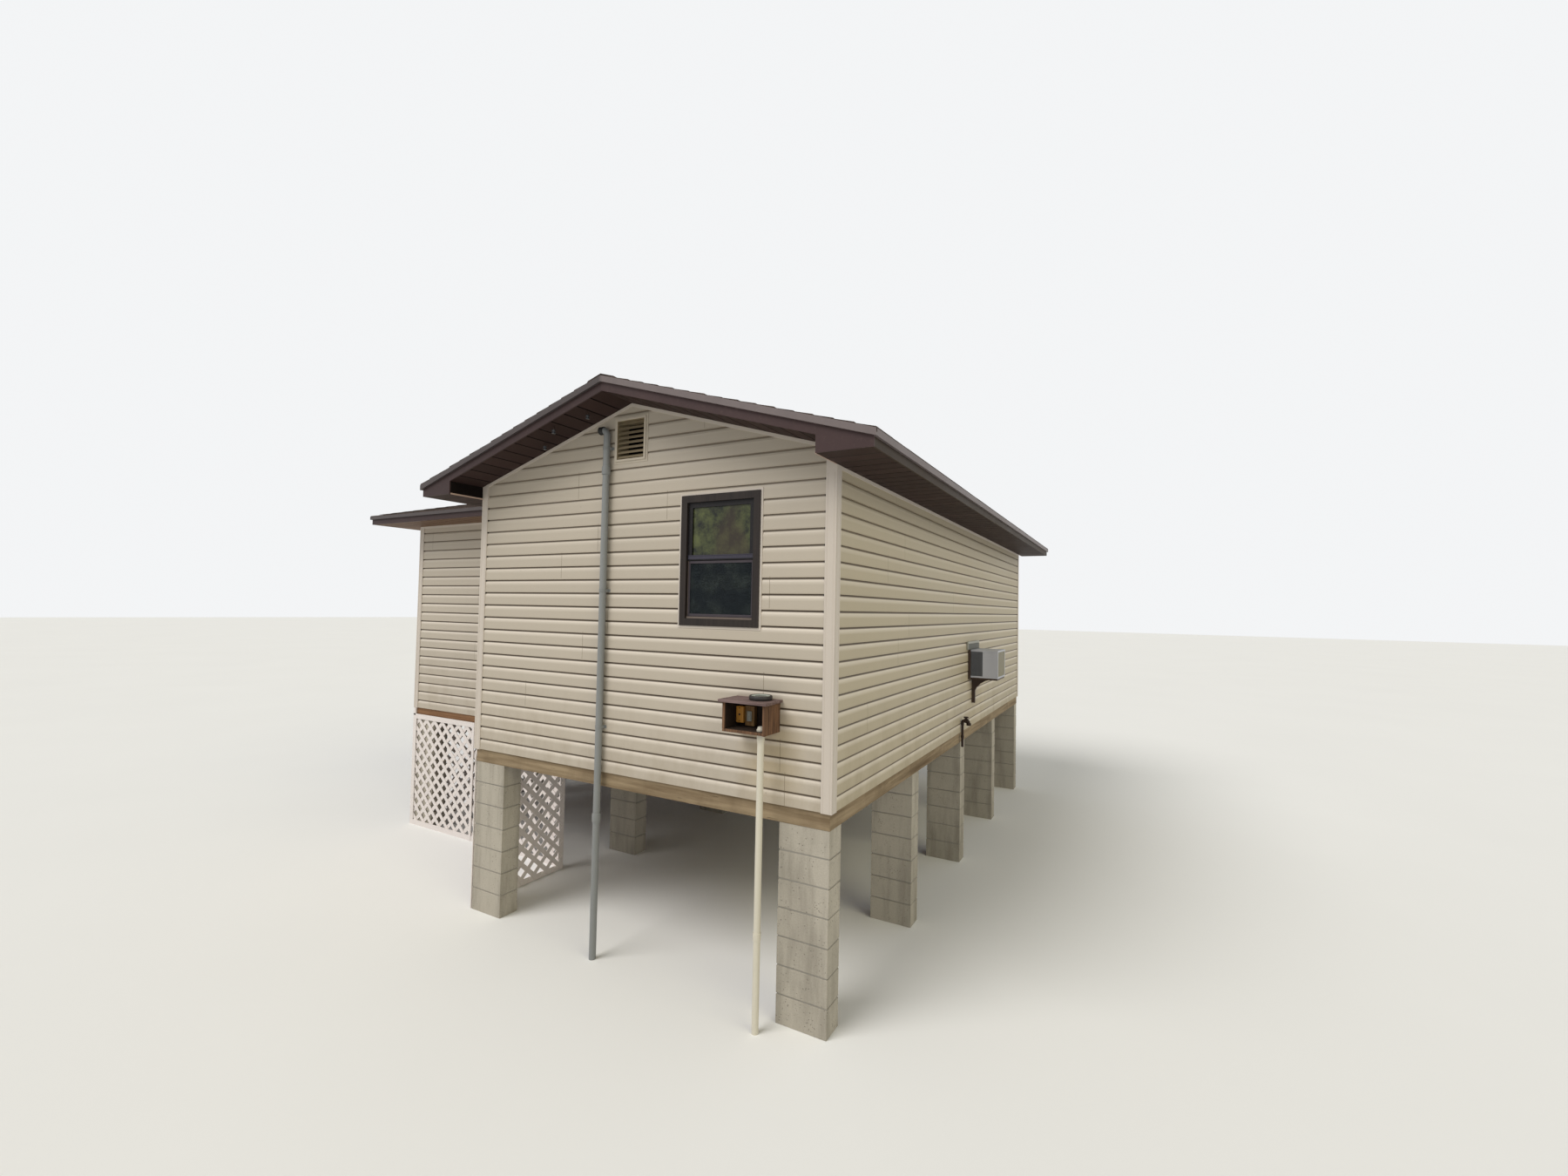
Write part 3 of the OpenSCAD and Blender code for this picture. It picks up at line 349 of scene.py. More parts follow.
def sheet_finish(name, colour, rough, gloss=0.3, shaded=None):
    """Coated sheet metal: faint streaks down its face, dust, and a slight unevenness. Where shaded is given, the
    half left of the ridge has its colour times that, a painted shadow."""
    finish = Finish(name, Specular_IOR_Level=gloss)
    streak = finish.noise(11.0, (1, 1, 0.1), 4.0)
    cloud = finish.noise(1.4, detail=4.0)
    dust = finish.noise(42.0, detail=4.0, rough=0.7).step(0.55, 0.75)
    # Painted shadow on the half left of the ridge
    if shaded is not None:
        middle = sum(box("ridge_cap"))[0] / 2
        right = finish.xyz[0].step(middle - 0.02, middle + 0.02)
        colour = finish.coats(tuple(part * shaded for part in colour), (colour, right))
    painted = finish.shade(colour, 1 + (streak - 0.5) * 0.24 + (cloud - 0.5) * 0.3)
    painted = finish.coats(painted, (linear(128, 112, 104), dust * 0.12))
    finish.paint(Base_Color=painted, Roughness=rough + (cloud - 0.5) * 0.2 + dust * 0.1)
    finish.relief(finish.noise(5.0, detail=2.0), 0.0016, 0.5)


def timber_finish(name, colour, dark, rough, along, grain_scale, worn, hollow=None):
    """Timber: long grain, darker growth lines, weather stains and small cracks. The grain runs along one axis, or
    along X on faces that look to the front and along Y elsewhere where along is "xy". Between the two corners of
    hollow the boards get painted shade, near black."""
    stretches = {"x": (0.05, 1, 1), "y": (1, 0.05, 1), "z": (1, 1, 0.05)}
    finish = Finish(name, Specular_IOR_Level=0.3)
    if along == "xy":
        front = finish.facing("Y")
        grain, lines = (
            front * finish.noise(scale, stretches["x"], detail, 0.65)
            + (1 - front) * finish.noise(scale, stretches["y"], detail, 0.65)
            for scale, detail in ((grain_scale, 6.0), (grain_scale * 5, 3.0))
        )
    else:
        grain = finish.noise(grain_scale, stretches[along], 6.0, 0.65)
        lines = finish.noise(grain_scale * 5, stretches[along], 3.0, 0.6)
    stain = finish.noise(2.4, (1, 1, 0.6), 5.0, 0.6)
    crack = lines.step(0.68, 0.72)
    painted = finish.coats(colour, (dark, grain.step(0.38, 0.7)), (dark, stain.step(0.5, 0.72) * worn))
    painted = finish.shade(painted, 1 + (lines - 0.5) * 0.35)
    if hollow is not None:
        # Painted shade, near black, inside the hollow
        painted = finish.coats(painted, (linear(14, 10, 9), finish.inside(*hollow) * 0.85))
    painted = finish.coats(painted, (tuple(part * 0.3 for part in dark), crack * 0.7))
    finish.paint(Base_Color=painted, Roughness=rough + (grain - 0.5) * 0.2)
    finish.relief(grain * 0.6 + lines * 0.4 - crack * 0.6, 0.002, 0.6)


def block_finish(colour):
    """Rough block: sandy grain, open pores and runs of damp."""
    finish = Finish("rough_block", Specular_IOR_Level=0.2)
    grain = finish.noise(90.0, detail=4.0, rough=0.7)
    pore = finish.spots(55.0, 0.24) * finish.noise(14.0).step(0.5, 0.6)
    damp = finish.noise(7.0, (1, 1, 0.16), 5.0, 0.62).step(0.45, 0.75)
    painted = finish.coats(
        finish.shade(colour, 0.9 + (grain - 0.5) * 0.35 + (finish.noise(2.0) - 0.5) * 0.2),
        (linear(106, 100, 90), damp * 0.55), (linear(84, 79, 72), pore * 0.6),
    )
    finish.paint(Base_Color=painted, Roughness=0.92)
    finish.relief(grain * 0.7 - pore * 0.8, 0.004, 0.8)


def coated_finish(name, colour, rough, patches=0.06, scale=1.2, depth=0.0003, strength=0.4):
    """A plain coat: broad and fine changes of tone, roughness that follows them, and a faint grain in relief."""
    finish = Finish(name)
    broad, grain = finish.noise(scale, detail=4.0), finish.noise(60.0, detail=2.0)
    level = 1 + (broad - 0.5) * (patches * 2) + (grain - 0.5) * (patches * 0.8)
    finish.paint(Base_Color=finish.shade(colour, level), Roughness=rough + (broad - 0.5) * 0.12 + (grain - 0.5) * 0.06)
    finish.relief(grain, depth, strength)


def glass_finish():
    """Window glass over a dim room: dark and greenish, with a faint mirror of its surroundings."""
    finish = Finish("window_glass", Specular_IOR_Level=0.3, Coat_Weight=0.2, Coat_Roughness=0.02)
    dim = finish.coats(
        linear(18, 22, 10), (linear(84, 90, 50), finish.noise(9.0, detail=6.0, rough=0.7).step(0.38, 0.66)),
        (linear(60, 48, 34), finish.noise(2.6, (1, 1, 0.5)).step(0.48, 0.6) * 0.6),
    )
    finish.paint(Base_Color=dim, Roughness=0.06 + finish.noise(22.0, detail=4.0).step(0.5, 0.8) * 0.08)


def vent_finish():
    """Gable vent: a frame like the trim round blades of a darker tan."""
    finish = Finish("vent_tan", Specular_IOR_Level=0.3)
    low, high = box("gable_vents")
    edge = (0.034, -1, 0.034)
    grain, soot = finish.noise(60.0), finish.noise(9.0, (1, 1, 0.3), 4.0)
    painted = finish.coats(linear(190, 180, 164), (linear(152, 138, 112), finish.inside(low + edge, high - edge)))
    painted = finish.shade(painted, 1 + (grain - 0.5) * 0.08 + (soot - 0.5) * 0.2)
    finish.paint(Base_Color=painted, Roughness=0.55 + (grain - 0.5) * 0.1)
    finish.relief(grain, 0.0003, 0.4)


def screen_finish():
    """Insect screen: dark threads both ways that let part of the sash behind show, with dust on them."""
    finish = Finish("insect_screen", Specular_IOR_Level=0.1)
    x, y, z = finish.xyz
    thread = ((x + y) % THREAD_PITCH < THREAD) | (z % THREAD_PITCH < THREAD)
    dust = finish.noise(6.0, detail=5.0, rough=0.65)
    painted = finish.coats(linear(32, 38, 42), (linear(58, 64, 62), dust.step(0.45, 0.75)))
    finish.paint(Base_Color=painted, Alpha=0.55 + thread * 0.35, Roughness=0.75 + dust * 0.1)


# Coated sheets: colour on a screen, roughness and gloss
SHEETS = {
    "sash_black": ((26, 24, 26), 0.45, 0.25), "screen_bars": ((66, 60, 66), 0.5, 0.25),
    # The meeting rails' slate colour, lighter than the sashes, is a painted highlight on their upward faces
    "rail_slate": ((58, 56, 68), 0.45, 0.25), "sill_strip": ((116, 104, 96), 0.5, 0.25),
    "eave_sheet": ((54, 43, 31), 0.55, 0.15), "return_strip": ((176, 152, 138), 0.5),
    "galvanised_strap": ((128, 130, 130), 0.4), "tap_brass": ((48, 36, 30), 0.5, 0.2),
    # The outer fins have a light coat, tinted yellow-green as a painted reflection
    "cooler_fins": ((84, 84, 84), 0.5), "cooler_outer": ((186, 180, 160), 0.5),
    "cooler_enamel": ((186, 188, 198), 0.45), "cooler_header": ((88, 90, 84), 0.5),
    "bracket_paint": ((62, 48, 40), 0.55), "door_paint": ((96, 82, 74), 0.45),
}
# Moulded, cast or glazed: colour on a screen, roughness and strength of the patches
COATS = {
    "mortar": ((150, 146, 138), 0.95, 0.2), "dark_hollow": ((16, 15, 14), 0.7, 0.1),
    "spool_glaze": ((48, 52, 58), 0.2, 0.15), "switch_grey": ((150, 150, 140), 0.4, 0.1),
    "rubber_rim": ((38, 33, 32), 0.55, 0.25), "dish_grey": ((158, 166, 158), 0.45, 0.2),
    "grey_conduit": ((128, 130, 130), 0.45, 0.1), "outlet_cover": ((206, 144, 58), 0.5, 0.12),
    "cream_pipe": ((206, 200, 184), 0.3, 0.08), "white_lattice": ((224, 216, 212), 0.45, 0.05),
}
# Timbers: light and dark colour on a screen, roughness, the grain's direction and scale, and weather stains
TIMBERS = {
    "brown_rim": ((142, 106, 74), (102, 70, 46), 0.8, "xy", 16.0, 0.4),
    "lid_boards": ((128, 108, 106), (74, 56, 52), 0.75, "x", 50.0, 0.4),
    "plate_board": ((138, 106, 66), (92, 66, 38), 0.7, "z", 40.0, 0.3),
    "window_casing": ((43, 35, 31), (28, 22, 21), 0.6, "z", 40.0, 0.2),
    "box_boards": ((122, 90, 66), (54, 36, 26), 0.8, "z", 70.0, 0.45),
    "rim_timber": ((152, 134, 107), (98, 80, 58), 0.85, "xy", 16.0, 0.55),
    "deck_boards": ((168, 138, 102), (112, 86, 60), 0.7, "x", 20.0, 0.3),
}
# The finish of each of the record's slots, and of the nodes whose look differs from the rest of their slot
SLOT_FINISHES = {
    "siding": "cream_siding", "trim": "cream_trim", "shingle": "shingles", "fascia": "fascia_sheet",
    "drip_edge": "drip_sheet", "soffit": "soffit_sheet", "wing_soffit": "wing_soffit_sheet",
    "window_frame": "window_casing", "glass": "window_glass", "door": "door_paint", "ac_case": "cooler_enamel",
    "ac_header": "cooler_header", "bracket": "bracket_paint", "conduit": "grey_conduit", "box_timber": "box_boards",
    "outlet": "outlet_cover", "post": "cream_pipe", "block": "rough_block", "treated_timber": "rim_timber",
    "floor_deck": "deck_boards", "wall_panel": "wall_panel", "lattice": "white_lattice",
}
OWN_FINISHES = {
    "window_sashes": "sash_black", "wing_floor_frame": "brown_rim", "eave_returns": "return_soffit_sheet",
    "rake_soffits": "rake_soffit_sheet", "gable_vents": "vent_tan", "eave_fascias": "eave_sheet",
    "right_siding": "yellowed_siding",
}


def make_finishes(colours):
    """Every material, found again by its name."""
    for name, (colour, *rest) in SHEETS.items():
        sheet_finish(name, linear(*colour), *rest)
    for name, (colour, *rest) in COATS.items():
        coated_finish(name, linear(*colour), *rest)
    low, high = box("outlet_box")
    # The inside of the outlet box, whose boards get painted shade
    hollows = {"box_boards": (low + (0.026, 0.034, 0.004), high - (0.044, 0.0, 0.019))}
    for name, (light, dark, *rest) in TIMBERS.items():
        timber_finish(name, linear(*light), linear(*dark), *rest, hollows.get(name))
    for name, colour, kind in (
        ("soffit_sheet", "soffit_colour", "eave"), ("rake_soffit_sheet", "soffit_colour", "rake"),
        ("return_soffit_sheet", "soffit_colour", "return"), ("wing_soffit_sheet", "wing_soffit_colour", "eave"),
    ):
        soffit_finish(name, colours[colour], kind)
    siding = colours["siding_colour"]
    siding_finish("cream_siding", siding)
    # The right wall's siding is a darker, yellower copy: painted shade and the yellow-green tint of the light on that
    # wall
    siding_finish("yellowed_siding", tuple(part * share for part, share in zip(siding, (0.93, 0.906, 0.785))))
    # The fascia and drip edge left of the ridge take a painted shadow: their colours times 0.8 and 0.42
    sheet_finish("fascia_sheet", colours["fascia_colour"], 0.5, 0.2, 0.8)
    sheet_finish("drip_sheet", colours["drip_colour"], 0.46, 0.3, 0.42)
    coated_finish("cream_trim", colours["trim_colour"], 0.48, 0.05, depth=0.0004)
    coated_finish("wall_panel", colours["panel_colour"], 0.6, 0.06, 0.9, 0.0006, 0.5)
    shingle_finish(colours["shingle_colour"])
    block_finish(colours["block_colour"])
    glass_finish()
    vent_finish()
    screen_finish()


# ---------------------------------------------------------------- shapes

BLOCK_FACES = [(0, 2, 3, 1), (4, 5, 7, 6), (0, 1, 5, 4), (2, 6, 7, 3), (0, 4, 6, 2), (1, 3, 7, 5)]
CAP_FACES = [
    (0, 3, 4, 1), (1, 4, 5, 2), (6, 7, 10, 9), (7, 8, 11, 10), (0, 1, 7, 6), (1, 2, 8, 7), (3, 9, 10, 4),
    (4, 10, 11, 5), (0, 6, 9, 3), (2, 5, 11, 8),
]


def circle(sides):
    """Even steps of angle round a circle, as a column."""
    return np.linspace(0, 2 * math.pi, sides, endpoint=False)[:, None]


class Solid:
    """Gathers closed shapes, each worked out as whole arrays, for one piece. It starts with any plain boxes."""

    def __init__(self, *boxes):
        self.points = []
        self.faces = []
        self.count = 0
        for low, high in boxes:
            self.block(low, high)

    def add(self, points, faces):
        """A shape from its own points and faces."""
        points = np.asarray(points, float).reshape(-1, 3)
        self.points.append(points)
        self.faces.extend(tuple(int(corner) + self.count for corner in face) for face in faces)
        self.count += len(points)
        return self

    def block(self, low, high, turn=0.0):
        """A box between two corners, turned about its own upright middle line."""
        low, high = np.minimum(low, high), np.maximum(low, high)
        unit = np.array([[i & 1, i >> 1 & 1, i >> 2 & 1] for i in range(8)], float)
        middle = (low + high) / 2
        cos, sin = math.cos(turn), math.sin(turn)
        turned = (low + unit * (high - low) - middle) @ np.array([[cos, sin, 0], [-sin, cos, 0], [0, 0, 1]])
        return self.add(turned + middle, BLOCK_FACES)

    def on_wall(self, corner, across, out, low, high):
        """A box on an upright face: its two corners say how far across, up and out from a corner of the face."""
        turn = np.array([across, (0.0, 0.0, 1.0), out])
        return self.block(corner + low @ turn, corner + high @ turn)

    def prism(self, outline, height):
        """A flat outline of 3-D points carried straight up by a height."""
        around = np.arange(len(outline))
        after = (around + 1) % len(outline)
        sides = np.stack([around, after, after + len(outline), around + len(outline)], 1)
        points = np.concatenate([outline, outline + np.array([0, 0, height])])
        return self.add(points, [tuple(around[::-1]), tuple(around + len(outline)), *map(tuple, sides)])

    def tube(self, path, radius, across, sides):
        """A round bar: circles of radius round each point of a path, square to it. across is square to the path."""
        path = np.asarray(path, float)
        radius = np.broadcast_to(np.asarray(radius, float), len(path))
        along = np.gradient(path, axis=0)
        along /= np.linalg.norm(along, axis=1, keepdims=True)
        up = np.cross(along, across)
        angle = circle(sides)
        ring = across * np.cos(angle) + up[:, None] * np.sin(angle)
        return self.grid(path[:, None] + radius[:, None, None] * ring)

    def lathe(self, profile, centre, axis=(0, 0, 1), sides=40):
        """A turned shape: a profile of radius and height spun round an axis through a centre."""
        profile, axis = np.asarray(profile, float), np.asarray(axis, float)
        first = np.cross(axis, (1.0, 0.0, 0.0) if axis[1] else (0.0, 1.0, 0.0))
        angle = circle(sides)
        ring = first * np.cos(angle) + np.cross(axis, first) * np.sin(angle)
        return self.grid(np.asarray(centre, float) + profile[:, None, :1] * ring + profile[:, None, 1:] * axis)

    def grid(self, points):
        """Closed skin over rings of points, with flat ends."""
        rings, sides = points.shape[:2]
        around = np.arange(sides)
        after = (around + 1) % sides
        start = np.arange(rings - 1)[:, None] * sides
        skin = np.stack([start + around, start + after, start + sides + after, start + sides + around], 2)
        return self.add(points, [*skin.reshape(-1, 4), around[::-1], (rings - 1) * sides + around])

    def piece(self, name, finish, slot_name, replaced=(), bevel=0.0, smooth=None):
        """The finished piece, at the origin and riding with the building, its faces turned outwards, its edges
        rounded and its curved faces shaded smooth where asked."""
        mesh = bpy.data.meshes.new(name)
        mesh.from_pydata(np.concatenate(self.points).tolist(), [], self.faces)
        mesh.materials.append(bpy.data.materials[finish])
        mesh.validate()
        made = bpy.data.objects.new(name, mesh)
        bpy.context.scene.collection.objects.link(made)
        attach(made, BODY)
        if replaced:
            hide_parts(*replaced)
        turned = bmesh.new()
        turned.from_mesh(mesh)
        bmesh.ops.recalc_face_normals(turned, faces=turned.faces)
        turned.to_mesh(mesh)
        turned.free()
        if smooth is not None:
            mesh.polygons.foreach_set("use_smooth", np.ones(len(mesh.polygons), bool))
            mesh.set_sharp_from_angle(angle=math.radians(smooth))
        if bevel:
            rounded = made.modifiers.new("rounded_edges", "BEVEL")
            rounded.width = bevel
            rounded.segments = 2
            rounded.limit_method = "ANGLE"
            rounded.angle_limit = math.radians(40)


def collar(radii, steps, length):
    """Profile of a coupling that is the same from both ends: its radius at the end and at each step in from it."""
    half = list(zip(radii, (0.0, *steps)))
    return half + [(radius, length - up) for radius, up in reversed(half)]


def clip(polygon, limits):
    """The part of a plan polygon where a * x + b * y <= c for every limit (a, b, c)."""
    for a, b, c in limits:
        kept = []
        for index, point in enumerate(polygon):
            before = polygon[index - 1]
            inside = a * point[0] + b * point[1] - c
            earlier = a * before[0] + b * before[1] - c
            if inside * earlier < 0:
                share = earlier / (earlier - inside)
                kept.append((before[0] + (point[0] - before[0]) * share, before[1] + (point[1] - before[1]) * share))
            if inside <= 0:
                kept.append(point)
        polygon = kept
    return polygon


# ---------------------------------------------------------------- settings

def colour_setting(name, description, default):
    """A colour that a user can change."""
    return bpy.props.FloatVectorProperty(
        name=name, description=description, default=default, subtype="COLOR", size=3, min=0.0, max=1.0
    )


def length_setting(name, description, default):
    """A length that a user can change."""
    return bpy.props.FloatProperty(name=name, description=description, default=default, unit="LENGTH")


def angle_setting(name, description, degrees):
    """An angle that a user can change."""
    return bpy.props.FloatProperty(name=name, description=description, default=math.radians(degrees), subtype="ANGLE")


class BoathouseColours(bpy.types.PropertyGroup):
    """Colours of the building."""

    siding_colour: colour_setting("Siding", "Colour of the lapped siding", linear(183, 173, 158))
    trim_colour: colour_setting("Trim", "Colour of the corner posts and trims", linear(198, 188, 177))
    shingle_colour: colour_setting("Shingles", "Colour of the roof's shingles", linear(72, 61, 57))
    fascia_colour: colour_setting("Fascia", "Colour of the fascia boards", linear(66, 50, 50))
    drip_colour: colour_setting("Drip edge", "Colour of the drip edges", linear(112, 102, 102))
    soffit_colour: colour_setting("Soffit", "Colour of the main roof's soffits", linear(54, 40, 37))
    wing_soffit_colour: colour_setting("Wing soffit", "Colour of the wing's soffit", linear(116, 92, 74))
    block_colour: colour_setting("Block", "Colour of the block piers", linear(184, 177, 164))
    panel_colour: colour_setting("Wall panel", "Colour of the walls inside", linear(214, 204, 186))


class BoathouseView(bpy.types.PropertyGroup):
    """Where the picture is taken from."""

    eye: bpy.props.FloatVectorProperty(
        name="Eye", description="Place of the camera", default=(5.072, -7.682, 2.864), subtype="XYZ", unit="LENGTH"
    )
    heading: angle_setting("Heading", "Turn to the right of the +Y axis", -29.01)
    pitch: angle_setting("Pitch", "Angle above the horizon", 1.91)
    roll: angle_setting("Roll", "Tilt of the picture", 1.10)
    lens: bpy.props.FloatProperty(
        name="Lens", description="Focal length on a 36 mm sensor", default=14.84, min=5.0, max=200.0, unit="CAMERA"
    )


# ---------------------------------------------------------------- operators

class BOATHOUSE_OT_stage(bpy.types.Operator):
    """Floor, camera and soft studio light."""

    bl_idname = "boathouse.stage"
    bl_label = "Stage"

    def execute(self, context):
        scene = context.scene
        self.make_floor(scene)
        self.make_camera(scene)
        self.make_light(scene)
        scene.view_settings.view_transform = "Standard"
        return {"FINISHED"}

    def make_floor(self, scene):
        """A wide flat square with a faint change of tone."""
        reach = 120.0
        mesh = bpy.data.meshes.new("floor")
        corners = [(-reach, -reach, 0), (reach, -reach, 0), (reach, reach, 0), (-reach, reach, 0)]
        mesh.from_pydata(corners, [], [(0, 1, 2, 3)])
        finish = Finish("pale_floor", Specular_IOR_Level=0.1)
        level = 1 + (finish.noise(0.3) - 0.5) * 0.04
        finish.paint(Base_Color=finish.shade((0.86, 0.86, 0.85), level), Roughness=0.9)
        mesh.materials.append(finish.material)
        floor = bpy.data.objects.new("floor", mesh)
        scene.collection.objects.link(floor)

    def make_camera(self, scene):
        """A camera turned by its heading, raised from looking down by a right angle and its pitch, and rolled."""
        view = scene.boathouse_view
        camera = bpy.data.objects.new("camera", bpy.data.cameras.new("camera"))
        camera.data.lens = view.lens
        camera.data.sensor_width = 36.0
        camera.data.clip_end = 500.0
        camera.matrix_world = Matrix.Translation(view.eye)
        for turn, axis in ((-view.heading, "Z"), (math.pi / 2 + view.pitch, "X"), (view.roll, "Z")):
            camera.matrix_world @= Matrix.Rotation(turn, 4, axis)
        scene.collection.objects.link(camera)
        scene.camera = camera

    def make_light(self, scene):
        """A dim even sky that the camera, gloss and glass see as a pale backdrop, and two wide soft lamps."""
        scene.world = bpy.data.worlds.new("studio")
        sky = Nodes(scene.world)
        made = sky.tree.nodes
        sky.feed(made["Background"].inputs, {"Color": (0.97, 0.985, 1.0, 1.0), "Strength": 0.39})
        lit = Reading(sky, made["Background"].outputs[0])
        backdrop = sky.node("ShaderNodeBackground", {}, {"Color": (0.9, 0.91, 0.92, 1.0), "Strength": 1.0})
        camera, gloss, glass = (
            sky.node("ShaderNodeLightPath", {}, {}, ray)
            for ray in ("Is Camera Ray", "Is Glossy Ray", "Is Transmission Ray")
        )
        blend = sky.node("ShaderNodeMixShader", {}, {"Fac": camera | gloss | glass, 1: lit, 2: backdrop})
        sky.feed(made["World Output"].inputs, {"Surface": blend})
        for name, towards, spread, strength, colour in (
            ("key", (-0.30, -0.60, 0.74), 34.0, 1.8, (1.0, 0.975, 0.94)),
            ("side", (0.79, -0.30, 0.53), 40.0, 0.76, (1.0, 0.94, 0.64)),
        ):
            lamp = bpy.data.lights.new(name, "SUN")
            lamp.angle = math.radians(spread)
            lamp.energy = strength
            lamp.color = colour
            holder = bpy.data.objects.new(name, lamp)
            holder.rotation_euler = Vector(towards).to_track_quat("Z", "Y").to_euler()
            scene.collection.objects.link(holder)


class BOATHOUSE_OT_finishes(bpy.types.Operator):
    """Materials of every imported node."""

    bl_idname = "boathouse.finishes"
    bl_label = "Finishes"

    def execute(self, context):
        settings = context.scene.boathouse_colours
        make_finishes({name: tuple(getattr(settings, name)) for name in type(settings).__annotations__})
        slots = {row["node"]: row["material_slot"] for row in frame["record"]["subparts"]}
        for node in NODES:
            materials = NODES[node].data.materials
            materials.clear()
            materials.append(bpy.data.materials[OWN_FINISHES.get(node, SLOT_FINISHES[slots[node]])])
        return {"FINISHED"}


class BOATHOUSE_OT_shingles(bpy.types.Operator):
    """Shingle tabs on every slope, lying on the stepped courses, and folded caps over ridge and hips."""

    bl_idname = "boathouse.shingles"
    bl_label = "Shingles"

    tab_width: length_setting("Tab", "Width of a tab", TAB_WIDTH)
    slot: length_setting("Slot", "Gap between tabs", 0.006)
    thick: length_setting("Thickness", "Thickness of a tab", 0.0035)

    def execute(self, context):
        self.random = np.random.default_rng(7)
        low, high = box("right_roof")
        ridge_x, crest, edge = low[0], high[2] + SHINGLE_BUTT, high[0] - low[0]
        eave_top = crest - ROOF_RISE * edge
        for name, sign in (("right_roof_tabs", 1), ("left_roof_tabs", -1)):
            solid = Solid()
            self.slope(
                solid, edge, ROOF_RISE, eave_top, low[1], lambda up: high[1],
                lambda up, along: (ridge_x + sign * (edge - up), along),
            )
            solid.piece(name, "shingles", "shingle")
        # The wing's slopes climb from the eave's top, just below that of the main roof, to the wing's own ridge.
        # Their limits in plan are the hips, at 45 degrees, and the valleys, where they meet the main roof's left slope.
        wing_low, wing_high = box("wing_roof")
        run, wing_crest = (wing_high[1] - wing_low[1]) / 2, wing_high[2] + SHINGLE_BUTT
        rise = (wing_crest - box("wing_soffit")[0][2] - FASCIA_HEIGHT - WING_DECK) / (run - DECK_LAP)
        eave = wing_crest - rise * run
        corner, middle = wing_low[0], wing_low[1] + run
        solid = Solid()
        for sign in (-1, 1):
            self.slope(
                solid, run, rise, eave, corner,
                lambda up: ridge_x - edge + max(0.0, (eave + rise * up - eave_top) / ROOF_RISE),
                lambda up, along: (along, middle + sign * (run - up)),
                [(-1.0, -sign, -corner - sign * middle - run)],
            )
        self.slope(
            solid, run, rise, eave, middle - run, lambda up: middle + run, lambda up, along: (corner + up, along),
            [(1.0, -1.0, corner - (middle - run)), (1.0, 1.0, corner + middle + run)],
        )
        solid.piece("wing_roof_tabs", "shingles", "shingle")
        solid = Solid()
        self.cap_row(solid, (ridge_x, low[1], crest), (ridge_x, high[1], crest), ROOF_RISE, (1, 0, 0))
        solid.piece("ridge_cap_shingles", "shingles", "shingle", ["ridge_cap"])
        solid = Solid()
        end = (corner + run, middle, wing_crest)
        self.cap_row(solid, (box("wing_caps")[1][0], middle, wing_crest), end, rise, (0, 1, 0))
        # The caps of a hip start a little in from the corner, and fall to its sides with the two slopes
        inset, lean = 0.1, 0.97
        reach = run - inset
        fall = lean * math.sin(math.atan(rise / math.sqrt(2)))
        for sign in (-1, 1):
            foot = (corner + inset, middle + sign * reach, wing_crest - rise * reach)
            self.cap_row(solid, foot, end, fall, (1, sign, 0))
        solid.piece("wing_cap_shingles", "shingles", "shingle", ["wing_caps"])
        return {"FINISHED"}

    def slope(self, solid, run, rise, eave, start, end, plan, limits=()):
        """Courses up a slope. plan gives X and Y for a run up the slope and a place along it, and end gives where a
        course stops. A tab lies between the butt of its course and that of the next: its height is eave + rise *
        foot at its butt, and it climbs a butt less than the slope does."""
        courses = max(1, round(run / SHINGLE_RUN))
        pitch = run / courses
        for course in range(courses):
            foot, head = course * pitch, (course + 1) * pitch
            last = end(foot + pitch / 2)
            at_foot = np.array(plan(foot, start))
            step = (np.array(plan(foot + pitch, start)) - at_foot) / pitch
            offset = (course % 2) * self.tab_width / 2 + self.random.uniform(-TAB_STRAY, TAB_STRAY)
            for left in np.arange(start - self.tab_width + offset, last + self.tab_width, self.tab_width):
                first = max(left + self.slot / 2, start)
                final = min(left + self.tab_width - self.slot / 2, last)
                down = foot + self.random.uniform(0.0, TAB_DROOP)
                thick = self.thick + self.random.uniform(0.0, TAB_SWELL)
                if final - first < TAB_LEAST:
                    continue
                corners = clip([plan(down, first), plan(down, final), plan(head, final), plan(head, first)], limits)
                if len(corners) < 3:
                    continue
                corners = np.array(corners)
                height = eave + rise * foot + (rise - SHINGLE_BUTT / pitch) * ((corners - at_foot) @ step)
                solid.prism(np.column_stack([corners, height]), thick)

    def cap_row(self, solid, start, end, fall, across):
        """Folded caps in a row: each starts under the next one's butt, is folded along the row, and falls by fall for
        each metre to its sides."""
        start, end = np.array(start, float), np.array(end, float)
        across = np.array(across, float) / np.linalg.norm(across)
        length = np.linalg.norm(end - start)
        along = (end - start) / length
        count = max(1, round(length / CAP_RUN))
        for index in range(count):
            reach = CAP_SIDE - self.random.uniform(0.0, CAP_STRAY)
            line = start + along * length * np.array([[index], [index + 1]]) / count
            line[:, 2] += CAP_LIFTS
            wings = np.array([[-1], [0], [1]]) * across * reach
            wings[:, 2] -= (fall * reach, 0.0, fall * reach)
            under = (line[:, None] + wings).reshape(-1, 3)
            solid.add([*under, *(under + (0, 0, CAP_THICK))], CAP_FACES)


